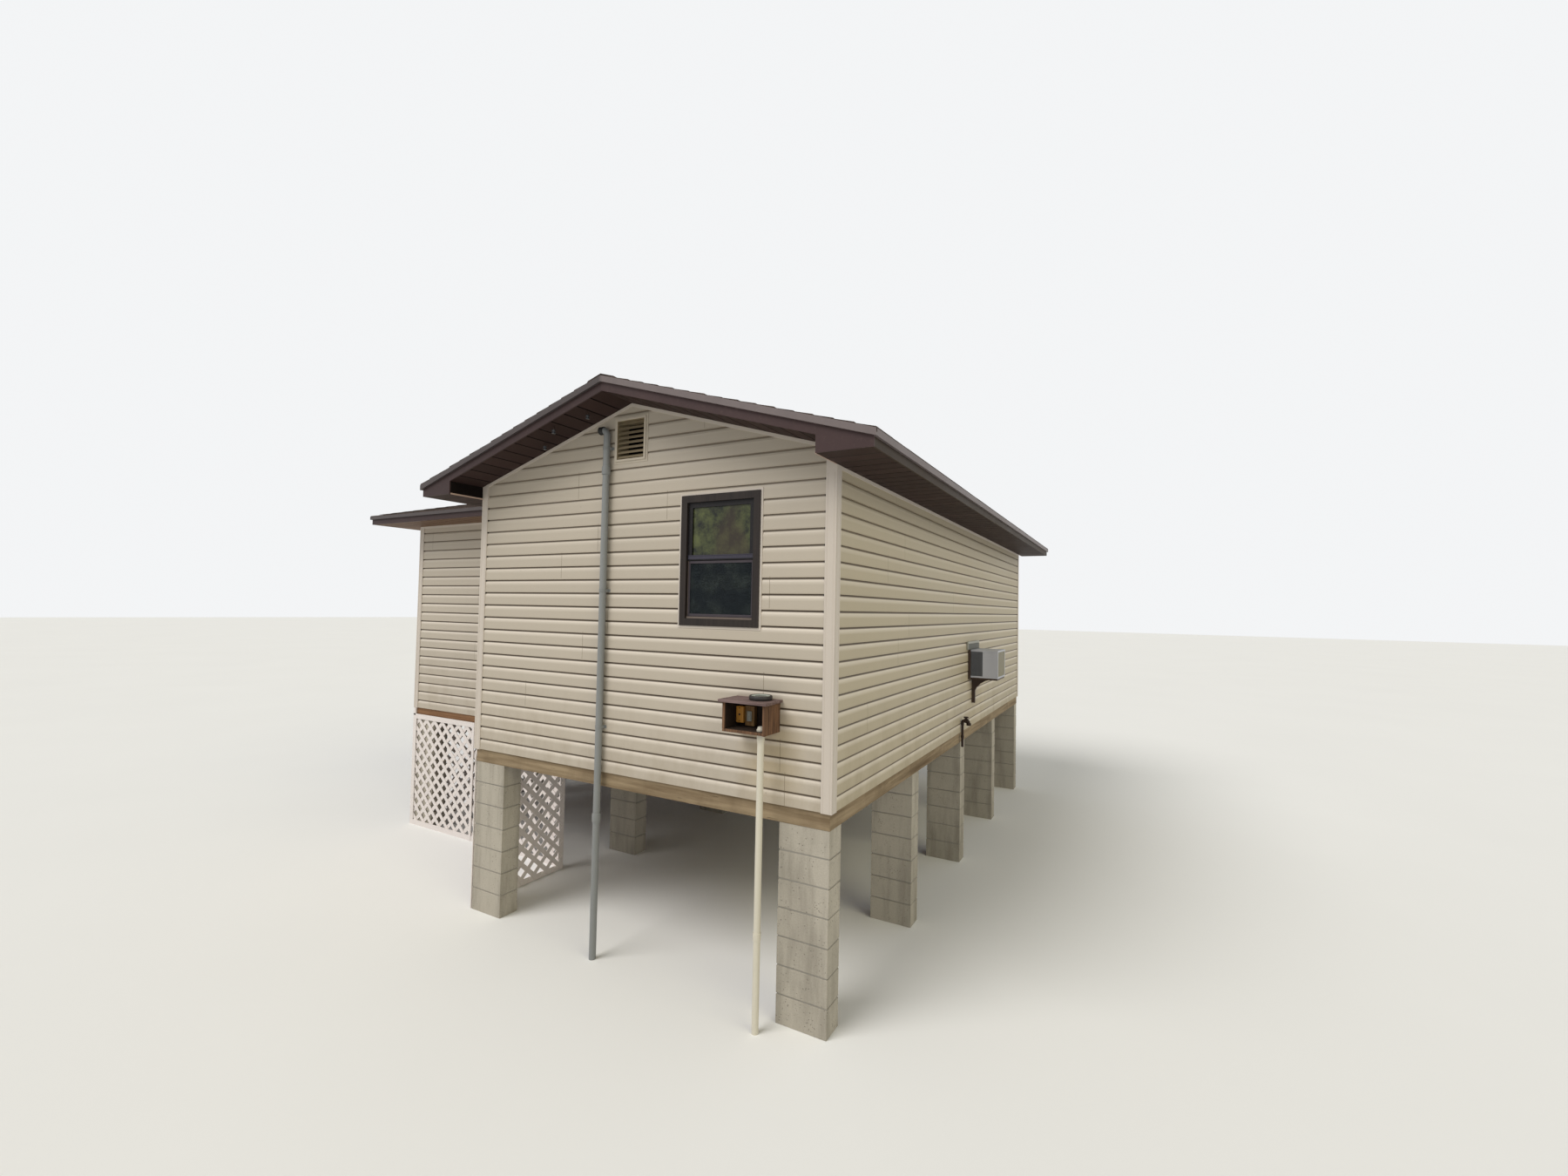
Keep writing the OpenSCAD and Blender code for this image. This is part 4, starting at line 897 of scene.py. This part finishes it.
class BOATHOUSE_OT_piers(bpy.types.Operator):
    """Piers of stacked blocks with mortar between them."""

    bl_idname = "boathouse.piers"
    bl_label = "Piers"

    courses: bpy.props.IntProperty(name="Courses", description="Blocks in a pier", default=7, min=2, max=12)
    joint: length_setting("Joint", "Height of a mortar joint", 0.01)

    def execute(self, context):
        random = np.random.default_rng(3)
        inset, mortar_inset, slip, twist = 0.002, 0.007, 0.0015, 0.004
        for node in ("main_piers", "wing_piers"):
            places = vertices(node)
            xs, ys = (np.unique(places[:, axis].round(4)).reshape(-1, 2) for axis in (0, 1))
            top = places[:, 2].max()
            height = top / self.courses
            blocks, mortar = Solid(), Solid()
            for x0, x1 in xs:
                for y0, y1 in ys:
                    edge = np.array([mortar_inset, mortar_inset, inset])
                    mortar.block((x0, y0, 0.0) + edge, (x1, y1, top) - edge)
                    for course in range(self.courses):
                        shift = np.array([*random.uniform(-slip, slip, 2), 0.0])
                        low = (x0 + inset, y0 + inset, course * height + (self.joint if course else 0))
                        high = (x1 - inset, y1 - inset, (course + 1) * height)
                        blocks.block(shift + low, shift + high, random.uniform(-twist, twist))
            blocks.piece(node + "_blocks", "rough_block", "block", [node], bevel=0.0035)
            mortar.piece(node + "_mortar", "mortar", "block")
        return {"FINISHED"}


class BOATHOUSE_OT_fittings(bpy.types.Operator):
    """Mast, outlet post, tap and cable hooks as smooth turned and bent pieces."""

    bl_idname = "boathouse.fittings"
    bl_label = "Fittings"

    def execute(self, context):
        self.mast()
        self.post()
        self.tap()
        self.hooks()
        return {"FINISHED"}

    def mast(self):
        """A pipe up the wall, a quarter turn of it to the left, a bell at its mouth, and arched straps with ears."""
        low, high = box("service_mast")
        radius, bend = 0.028, 0.0448
        x, y = low[0] + bend + 0.034, low[1] + 0.035
        top = high[2] - bend - radius - 0.005
        mouth = np.array([x - bend, y, top + bend])
        angle = np.linspace(0, math.pi / 2, 17)
        curve = np.column_stack([x - bend + bend * np.cos(angle), np.full(17, y), top + bend * np.sin(angle)])
        pipe = Solid().tube([(x, y, 0.0), *curve, mouth - (0.01, 0, 0)], radius, (0, 1, 0), 40)
        for foot, length in ((top - 0.33, 0.07), (1.1, 0.075)):
            pipe.lathe(collar((0.0281, 0.0335, 0.035), (0.002, 0.008), length), (x, y, foot))
        pipe.piece("service_mast_pipe", "grey_conduit", "conduit", ["service_mast"], smooth=35)
        bell = [(0.024, -0.016), (0.0318, -0.014), (0.0335, -0.01), (0.0335, 0.03), (0.031, 0.034), (0.026, 0.034),
                (0.0245, 0.02), (0.006, 0.0185)]
        Solid().lathe(bell, mouth, (-1, 0, 0)).piece("service_mast_mouth", "dark_hollow", "conduit")
        wall = box("front_siding")[0][1]
        back, front = wall - y, wall - y - 0.002
        outer, inner, ear = 0.031, 0.0284, 0.05
        around = np.linspace(0, math.pi, 19)
        arch = np.column_stack([np.cos(around), -np.sin(around)])
        outline = np.array([
            *(outer * arch), (-outer, front), (-ear, front), (-ear, back), (-inner, back),
            *(inner * arch[::-1]), (inner, back), (ear, back), (ear, front), (outer, front),
        ])
        straps = Solid()
        for z in (1.86, 2.98, top - 0.12):
            straps.prism(np.column_stack([outline + (x, y), np.full(len(outline), z)]), 0.024)
            for side in (-0.041, 0.041):
                screw = (x + side, wall - 0.002, z + 0.012)
                straps.lathe([(0.0045, 0.0), (0.0045, 0.0015), (0.003, 0.0025)], screw, (0, -1, 0), 16)
        straps.piece("service_mast_straps", "galvanised_strap", "conduit", smooth=35)

    def post(self):
        """A straight pipe with two couplings."""
        x, y, radius, _, head = upright("outlet_post")
        pipe = Solid().tube([(x, y, 0.0), (x, y, head)], radius, (1, 0, 0), 40)
        for foot in (head - 0.051, 0.62):
            pipe.lathe(collar((radius, radius + 0.0035, radius + 0.004), (0.001, 0.006), 0.05), (x, y, foot))
        pipe.piece("outlet_post_pipe", "cream_pipe", "post", ["outlet_post"], smooth=35)

    def tap(self):
        """Standpipe with an elbow, a hexagonal packing nut, a rippled wheel and a spout turned down."""
        low, high = box("spigot")
        x, y, z = low[0] + 0.018, (low[1] + high[1]) / 2, high[2] - 0.05
        solid = Solid().tube([(x, y, low[2]), (x, y, z - 0.015)], 0.0138, (1, 0, 0), 24)
        for foot in (low[2] + 0.1, z - 0.052):
            solid.lathe(collar((0.0138, 0.0165, 0.0178), (0.002, 0.01), 0.034), (x, y, foot), sides=24)
        angle, bend = np.linspace(0, math.pi / 2, 9), 0.02
        elbow = np.column_stack([x + bend * (1 - np.cos(angle)), np.full(9, y), z - bend * (1 - np.sin(angle))])
        body = [(x + 0.045, y, z), (x + 0.064, y, z)]
        solid.tube([*elbow, *body], [0.019] * 9 + [0.0235] * 2, (0, 1, 0), 24)
        angle, bend = np.linspace(0, math.radians(75), 8), 0.014
        spout = np.column_stack([x + 0.053 + bend * np.sin(angle), np.full(8, y), z - bend * (1 - np.cos(angle))])
        tip = spout[-1] + (0.004, 0, -0.03)
        solid.tube([*spout, tip], np.linspace(0.0225, 0.0175, 9), (0, 1, 0), 24)
        solid.lathe([(0.019, 0), (0.0262, 0.002), (0.0262, 0.024), (0.021, 0.029)], tip - (0, 0, 0.007), sides=24)
        nut = [(0.022, 0), (0.022, 0.015), (0.012, 0.018), (0.012, 0.03)]
        solid.lathe(nut, (x + 0.04, y, z + 0.012), sides=6)
        angle = circle(48)[:, 0]
        ripple = 0.0258 + 0.0021 * np.cos(8 * angle)
        wheel = [x + 0.04 + ripple * np.cos(angle), y + ripple * np.sin(angle), np.full(48, high[2] - 0.013)]
        solid.prism(np.column_stack(wheel), 0.012)
        solid.piece("tap", "tap_brass", "bracket", ["spigot"], smooth=40)

    def hooks(self):
        """Glazed spools on steel stems under the soffit. The hooks are told apart by the wide gaps between them."""
        spool = [(0.006, 0.0), (0.0165, 0.002), (0.017, 0.008), (0.0125, 0.012), (0.0105, 0.017), (0.0125, 0.022),
                 (0.017, 0.026), (0.0165, 0.032), (0.006, 0.034)]
        spools, stems = Solid(), Solid()
        places = vertices("cable_hooks")
        across = places[:, 0]
        values = np.unique(across.round(4))
        for hook in np.split(values, np.flatnonzero(np.diff(values) > 0.1) + 1):
            mine = places[(across >= hook[0]) & (across <= hook[-1])]
            x, y = (mine.min(0) + mine.max(0))[:2] / 2
            foot, top = mine[:, 2].min(), mine[:, 2].max()
            stems.tube([(x, y, foot + 0.004), (x, y, top)], 0.0045, (1, 0, 0), 16)
            spools.lathe(spool, (x, y, foot), sides=28)
        spools.piece("cable_hook_spools", "spool_glaze", "bracket", ["cable_hooks"], smooth=50)
        stems.piece("cable_hook_stems", "bracket_paint", "bracket", smooth=40)


class BOATHOUSE_OT_outlets(bpy.types.Operator):
    """Outlet box of boards, with what is mounted in it and lies on it."""

    bl_idname = "boathouse.outlets"
    bl_label = "Outlet box"

    board: length_setting("Board", "Thickness of a board", 0.019)

    def execute(self, context):
        low, high = box("outlet_box")
        wall, board, eave, gap = high[1], self.board, 0.024, 0.0012
        left, right, front = low[0] + eave, high[0] - eave, low[1] + eave
        foot, head = low[2], high[2] - board
        strips = np.linspace(front, wall, 5)
        Solid(
            ((left + gap, front, foot), (right - gap, wall, foot + board)),
            ((left, front, foot + board + gap), (left + board, wall, head - gap)),
            *(((right - board, first + gap, foot - 0.003), (right, last - gap, head - gap))
              for first, last in zip(strips[:-1], strips[1:])),
            ((left + board, wall - board, foot + board), (right - board, wall, head)),
        ).piece("outlet_box_boards", "box_boards", "box_timber", ["outlet_box"], bevel=0.0015)
        middle = (front - eave + wall) / 2
        lid = Solid().block((left - eave, front - eave, head), (right + eave, middle - gap, head + board), 0.004)
        lid.block((left - eave + 0.004, middle + gap, head), (right + eave - 0.006, wall, head + board))
        lid.piece("outlet_box_lid", "lid_boards", "box_timber", bevel=0.002)
        self.inside(np.array([left + board, wall - board, foot]))
        self.ring()
        return {"FINISHED"}

    def inside(self, corner):
        """A covered outlet, a board with switches beside it, and the nut where the pipe comes up through the floor.
        Places are to the right of, in front of and above the lower left back corner."""
        def at(right, front, up):
            """A place in the box."""
            return corner + (right, -front, up)
        Solid((at(0.004, 0.056, 0.044), at(0.066, 0.001, 0.162))).piece(
            "outlet_unit", "outlet_cover", "outlet", ["outlets"], bevel=0.006
        )
        sockets = Solid().lathe([(0.007, 0), (0.007, 0.0025), (0.005, 0.003)], at(0.035, 0.056, 0.103), (0, -1, 0), 20)
        for up in (0.148, 0.058):
            sockets.lathe([(0.004, 0), (0.004, 0.002)], at(0.035, 0.056, up), (0, -1, 0), 14)
        sockets.piece("outlet_unit_sockets", "dark_hollow", "outlet", smooth=40)
        Solid((at(0.072, 0.04, 0.026), at(0.15, 0.001, 0.168))).piece(
            "outlet_plate", "plate_board", "outlet", bevel=0.003
        )
        Solid(
            (at(0.092, 0.048, 0.06), at(0.13, 0.04, 0.13)), (at(0.1, 0.052, 0.07), at(0.122, 0.047, 0.092)),
            (at(0.1, 0.052, 0.1), at(0.122, 0.047, 0.122)),
        ).piece("outlet_switches", "switch_grey", "outlet", bevel=0.0015)
        x, y, *_ = upright("outlet_post")
        nut = [(0.02, 0.0), (0.03, 0.0), (0.031, 0.004), (0.031, 0.012), (0.026, 0.016), (0.022, 0.03), (0.018, 0.032)]
        Solid().lathe(nut, (x, y, corner[2] + self.board), sides=32).piece(
            "outlet_pipe_nut", "cream_pipe", "post", smooth=35
        )

    def ring(self):
        """A round cover on the lid: a thick rim, a dish in it and a hub. Radii are how far in from the outside."""
        x, y, radius, foot, _ = upright("round_cover")
        rim = [(0.016, 0.0), (0.004, 0.0), (0.0, 0.005), (0.0, 0.026), (0.004, 0.032), (0.008, 0.033), (0.012, 0.032),
               (0.015, 0.028), (0.016, 0.01)]
        dish = [(0.0165, 0.0), (0.0165, 0.03), (0.022, 0.031), (radius * 0.44, 0.02), (radius - 0.004, 0.019)]
        hub = [(radius * 0.45, 0.0), (radius * 0.45, 0.005), (radius * 0.5, 0.008), (radius - 0.004, 0.009)]
        for name, finish, profile, up, sides, replaced in (
            ("rim", "rubber_rim", rim, 0.0, 64, ["round_cover"]), ("dish", "dish_grey", dish, 0.001, 64, []),
            ("hub", "spool_glaze", hub, 0.0195, 48, []),
        ):
            profile = [(radius - inset, height) for inset, height in profile]
            solid = Solid().lathe(profile, (x, y, foot + up), sides=sides)
            solid.piece("round_cover_" + name, finish, "bracket", replaced, smooth=50)


class BOATHOUSE_OT_cooler(bpy.types.Operator):
    """Air conditioner with upright fins near the wall on its sides and a finned outer face, header and bracket."""

    bl_idname = "boathouse.cooler"
    bl_label = "Air conditioner"

    def execute(self, context):
        (_, y0, z0), (out, y1, z1) = box("air_conditioner")
        wall = box("right_siding")[1][0]
        inner, split, rim, skin = wall - 0.1, wall + 0.158, 0.02, 0.012
        case = Solid(
            ((inner, y0 + skin, z0 + 0.004), (out - skin, y1 - skin, z1 - 0.002)),
            ((inner, y0, z1 - rim), (out, y1, z1)), ((inner, y0, z0), (out, y1, z0 + rim)),
        )
        for y in (y0, y1 - skin):
            case.block((split, y, z0 + rim), (out - skin, y + skin, z1 - rim))
            case.block((inner, y, z0 + rim), (wall + 0.008, y + skin, z1 - rim))
        for y in (y0, y1 - rim):
            case.block((out - skin, y, z0 + rim), (out, y + rim, z1 - rim))
        case.piece("cooler_case", "cooler_enamel", "ac_case", ["air_conditioner"], bevel=0.002)
        fins = Solid()
        for x in np.arange(wall + 0.012, split - 0.003, 0.0076):
            for y in (y0 + 0.001, y1 - skin + 0.001):
                fins.block((x, y, z0 + rim), (x + 0.0028, y + skin - 0.002, z1 - rim), 0.35)
        fins.piece("cooler_side_fins", "cooler_fins", "ac_case")
        # Outer fins: their coat's yellow-green tint is a painted reflection
        Solid(*(
            ((out - skin + 0.001, y0 + rim, z), (out - 0.001, y1 - rim, z + 0.0032))
            for z in np.arange(z0 + rim + 0.003, z1 - rim - 0.003, 0.0088)
        )).piece("cooler_outer_fins", "cooler_outer", "ac_case")
        (_, near, _), (_, far, head) = box("ac_header")
        foot = z1 + 0.003
        Solid(((wall, near + 0.023, foot), (wall + 0.02, far, head - 0.03))).piece(
            "cooler_header_board", "cooler_header", "ac_header", ["ac_header"], bevel=0.003
        )
        Solid(
            ((wall, near, head - 0.028), (wall + 0.021, far, head)),
            ((wall, near, foot), (wall + 0.021, near + 0.022, head - 0.029)),
        ).piece("cooler_header_strip", "switch_grey", "ac_header", bevel=0.002)
        Solid(
            ((wall, y0 - 0.05, z0 - 0.02), (wall + 0.022, y0 - 0.001, z1 + 0.002)),
            ((wall, y1 + 0.001, z0 - 0.02), (wall + 0.022, y1 + 0.03, z1 + 0.002)),
        ).piece("cooler_side_strips", "bracket_paint", "bracket", bevel=0.002)
        return {"FINISHED"}


class BOATHOUSE_OT_windows(bpy.types.Operator):
    """Insect screens, sill strips, meeting rails and locks of the four windows."""

    bl_idname = "boathouse.windows"
    bl_label = "Windows"

    casing: length_setting("Casing", "Width of the casing", 0.055)
    proud: length_setting("Proud", "Casing in front of the siding", 0.012)

    def execute(self, context):
        screens, mesh, sills, rails, locks = (Solid() for _ in range(5))
        bar, lap = 0.02, 0.018
        for corner, across, out, width, height in self.windows():
            face = corner - out * self.proud
            left, right = self.casing + 0.003, width - self.casing - 0.003
            middle = height * 0.52
            foot, head = self.casing + 0.016, middle - 0.024
            # From and to across, up, and out from the siding's face
            for solid, x0, x1, y0, y1, z0, z1 in (
                (screens, left, left + bar, foot, head, -0.024, -0.014),
                (screens, right - bar, right, foot, head, -0.024, -0.014),
                (screens, left + bar, right - bar, foot, foot + bar, -0.024, -0.014),
                (screens, left + bar, right - bar, head - bar, head, -0.024, -0.014),
                (mesh, left + lap, right - lap, foot + lap, head - lap, -0.0195, -0.019),
                (sills, left - 0.002, right + 0.002, self.casing - 0.002, self.casing + 0.014, -0.03, -0.004),
                (sills, left + 0.001, left + 0.005, foot, head, -0.0135, -0.0115),
                # Meeting rails, in a slate colour that is a painted highlight
                (rails, left + 0.004, right - 0.004, middle - 0.012, middle + 0.014, -0.008, -0.0045),
                (rails, left + 0.004, right - 0.004, middle + 0.014, middle + 0.019, -0.02, -0.0025),
                (locks, width / 2 - 0.024, width / 2 + 0.024, middle + 0.019, middle + 0.031, -0.06, -0.04),
            ):
                solid.on_wall(face, across, out, (x0, y0, z0), (x1, y1, z1))
        screens.piece("window_screen_bars", "screen_bars", "window_frame", bevel=0.001)
        mesh.piece("window_screens", "insect_screen", "window_frame")
        sills.piece("window_sill_strips", "sill_strip", "window_frame", bevel=0.001)
        rails.piece("window_meeting_rails", "rail_slate", "window_frame", bevel=0.001)
        locks.piece("window_locks", "switch_grey", "window_frame", bevel=0.003)
        return {"FINISHED"}

    @staticmethod
    def windows():
        """Lower left corner, direction across, outward direction, width and height of each window's casing."""
        points = vertices("window_frames")
        low, high = points.min(0), points.max(0)
        lake = points[points[:, 0] < low[0] + 0.2]
        middle = (lake[:, 1].min() + lake[:, 1].max()) / 2
        for group, across, out in (
            (points[points[:, 1] < low[1] + 0.2], (1, 0, 0), (0, -1, 0)),
            (points[points[:, 1] > high[1] - 0.2], (-1, 0, 0), (0, 1, 0)),
            (lake[lake[:, 1] < middle], (0, -1, 0), (-1, 0, 0)), (lake[lake[:, 1] > middle], (0, -1, 0), (-1, 0, 0)),
        ):
            across, out = np.array(across, float), np.array(out, float)
            along, face = group @ across, group @ out
            corner = across * along.min() + out * face.max() + (0, 0, group[:, 2].min())
            yield corner, across, out, np.ptp(along), np.ptp(group[:, 2])


class BOATHOUSE_OT_siding_ends(bpy.types.Operator):
    """Painted shade in the gaps at the ends of the laps beside the corner posts, as small near black blocks; ribs on
    the posts, battens on the lattice.
    """

    bl_idname = "boathouse.siding_ends"
    bl_label = "Siding ends"

    face: length_setting("Post", "Width of a corner post's face", 0.082)

    def execute(self, context):
        gaps, ribs = Solid(), Solid()
        foot, head = (corner[2] for corner in box("right_siding"))
        for corner, along, out in self.post_faces():
            for course in range(int((head - foot - FIRST_COURSE) / COURSE) + 1):
                z = foot + FIRST_COURSE + course * COURSE
                gap = (self.face + 0.0006, z - 0.013, -0.018), (self.face + 0.0075, z - 0.0005, -0.0035)
                gaps.on_wall(corner, along, out, *gap)
            for at in (0.014, self.face - 0.016):
                ribs.on_wall(corner, along, out, (at, foot - 0.003, -0.002), (at + 0.006, head - 0.03, 0.0016))
        (left, front, _), (_, back, top) = box("wing_front_lattice")
        joint = left + 1.22
        Solid(
            ((left, front, top - 0.02), (left + 0.045, back, top + 0.074)),
            ((joint - 0.02, front - 0.006, 0.0), (joint + 0.02, front + 0.004, top)),
        ).piece("lattice_battens", "white_lattice", "lattice", bevel=0.002)
        # Small near black blocks: painted shade in the gaps at the lap ends
        gaps.piece("siding_lap_gaps", "dark_hollow", "siding")
        ribs.piece("corner_post_ribs", "cream_trim", "trim", bevel=0.001)
        low, high = box("eave_returns")
        depth = box("eave_soffits")[0][1] - low[1] - 0.022
        strips = Solid()
        for rake, step in zip(box("rake_soffits"), (0.009, -0.009)):
            for near, far in ((low[1], low[1] + depth), (high[1] - depth, high[1])):
                strips.block((rake[0], near, low[2] - 0.001), (rake[0] + step, far, low[2] + 0.012))
        strips.piece("return_edge_strips", "return_strip", "soffit", bevel=0.001)
        return {"FINISHED"}

    @staticmethod
    def post_faces():
        """Outer corner on the ground, direction along the wall and outward direction of each post's two faces."""
        front, back, left, right, wing = (box(side + "_siding") for side in ("front", "back", "left", "right", "wing"))
        proud = 0.004
        x0, x1 = left[0][0] - proud, right[1][0] + proud
        y0, y1 = front[0][1] - proud, back[1][1] + proud
        wing_x, wing_y0, wing_y1 = wing[0][0] - proud, wing[0][1] - proud, wing[1][1] + proud
        for x, y, inward, backward in (
            (x0, y0, 1, 1), (x1, y0, -1, 1), (x0, y1, 1, -1), (x1, y1, -1, -1),
            (wing_x, wing_y0, 1, 1), (wing_x, wing_y1, 1, -1),
        ):
            corner = np.array([x, y, 0.0])
            across, along = np.array([inward, 0.0, 0.0]), np.array([0.0, backward, 0.0])
            yield corner, across, -along
            yield corner, along, -across


class BOATHOUSE_OT_door(bpy.types.Operator):
    """Knob, lock, hinges and threshold of the back door."""

    bl_idname = "boathouse.door"
    bl_label = "Back door"

    def execute(self, context):
        low, high = box("back_door")
        leaf, jamb, foot = high[1] - 0.033, 0.058, low[2]
        left, right = low[0] + jamb, high[0] - jamb
        knobs, hinges = Solid(), Solid()
        for up, radius in ((0.92, 0.027), (1.06, 0.021)):
            knob = [(0.006, -0.01), (0.033, 0.0), (0.034, 0.004), (0.03, 0.008), (0.012, 0.012), (0.012, 0.028),
                    (radius, 0.036), (radius + 0.001, 0.05), (radius * 0.7, 0.058), (0.004, 0.06)]
            knobs.lathe(knob, (left + 0.065, leaf, foot + up), (0, 1, 0), 36)
        knobs.piece("back_door_knob", "tap_brass", "door", smooth=40)
        for up in (0.2, 0.98, 1.76):
            pin = (right - 0.002, leaf + 0.004, foot + up)
            hinges.lathe(collar((0.001, 0.006), (0.002,), 0.088), pin, sides=16)
            hinges.block((right - 0.03, leaf - 0.001, foot + up), (right - 0.002, leaf + 0.0015, foot + up + 0.088))
        hinges.piece("back_door_hinges", "galvanised_strap", "door", smooth=40)
        Solid(((left, leaf - 0.04, foot), (right, leaf + 0.03, foot + 0.016))).piece(
            "back_door_threshold", "sill_strip", "door", bevel=0.003
        )
        return {"FINISHED"}


class BOATHOUSE_PT_panel(bpy.types.Panel):
    """Settings and steps of the boathouse."""

    bl_idname = "BOATHOUSE_PT_panel"
    bl_label = "Boathouse"
    bl_space_type = "VIEW_3D"
    bl_region_type = "UI"
    bl_category = "Boathouse"

    def draw(self, context):
        for settings in (context.scene.boathouse_colours, context.scene.boathouse_view):
            for name in type(settings).__annotations__:
                self.layout.prop(settings, name)
        for step in STEPS:
            self.layout.operator(step.bl_idname)


STEPS = (
    BOATHOUSE_OT_stage, BOATHOUSE_OT_finishes, BOATHOUSE_OT_shingles, BOATHOUSE_OT_piers, BOATHOUSE_OT_fittings,
    BOATHOUSE_OT_outlets, BOATHOUSE_OT_cooler, BOATHOUSE_OT_windows, BOATHOUSE_OT_siding_ends, BOATHOUSE_OT_door,
)
GROUPS = {"boathouse_colours": BoathouseColours, "boathouse_view": BoathouseView}


def register():
    """Registers the settings first, then the steps and the panel that use them."""
    for name, group in GROUPS.items():
        bpy.utils.register_class(group)
        setattr(bpy.types.Scene, name, bpy.props.PointerProperty(type=group))
    for shown in (*STEPS, BOATHOUSE_PT_panel):
        bpy.utils.register_class(shown)


def unregister():
    """Takes everything away again, in the opposite order."""
    for shown in (BOATHOUSE_PT_panel, *reversed(STEPS)):
        bpy.utils.unregister_class(shown)
    for name, group in GROUPS.items():
        delattr(bpy.types.Scene, name)
        bpy.utils.unregister_class(group)


def main():
    """Runs every step in order."""
    register()
    for step in STEPS:
        area, name = step.bl_idname.split(".")
        getattr(getattr(bpy.ops, area), name)()


if __name__ == "__main__":
    main()
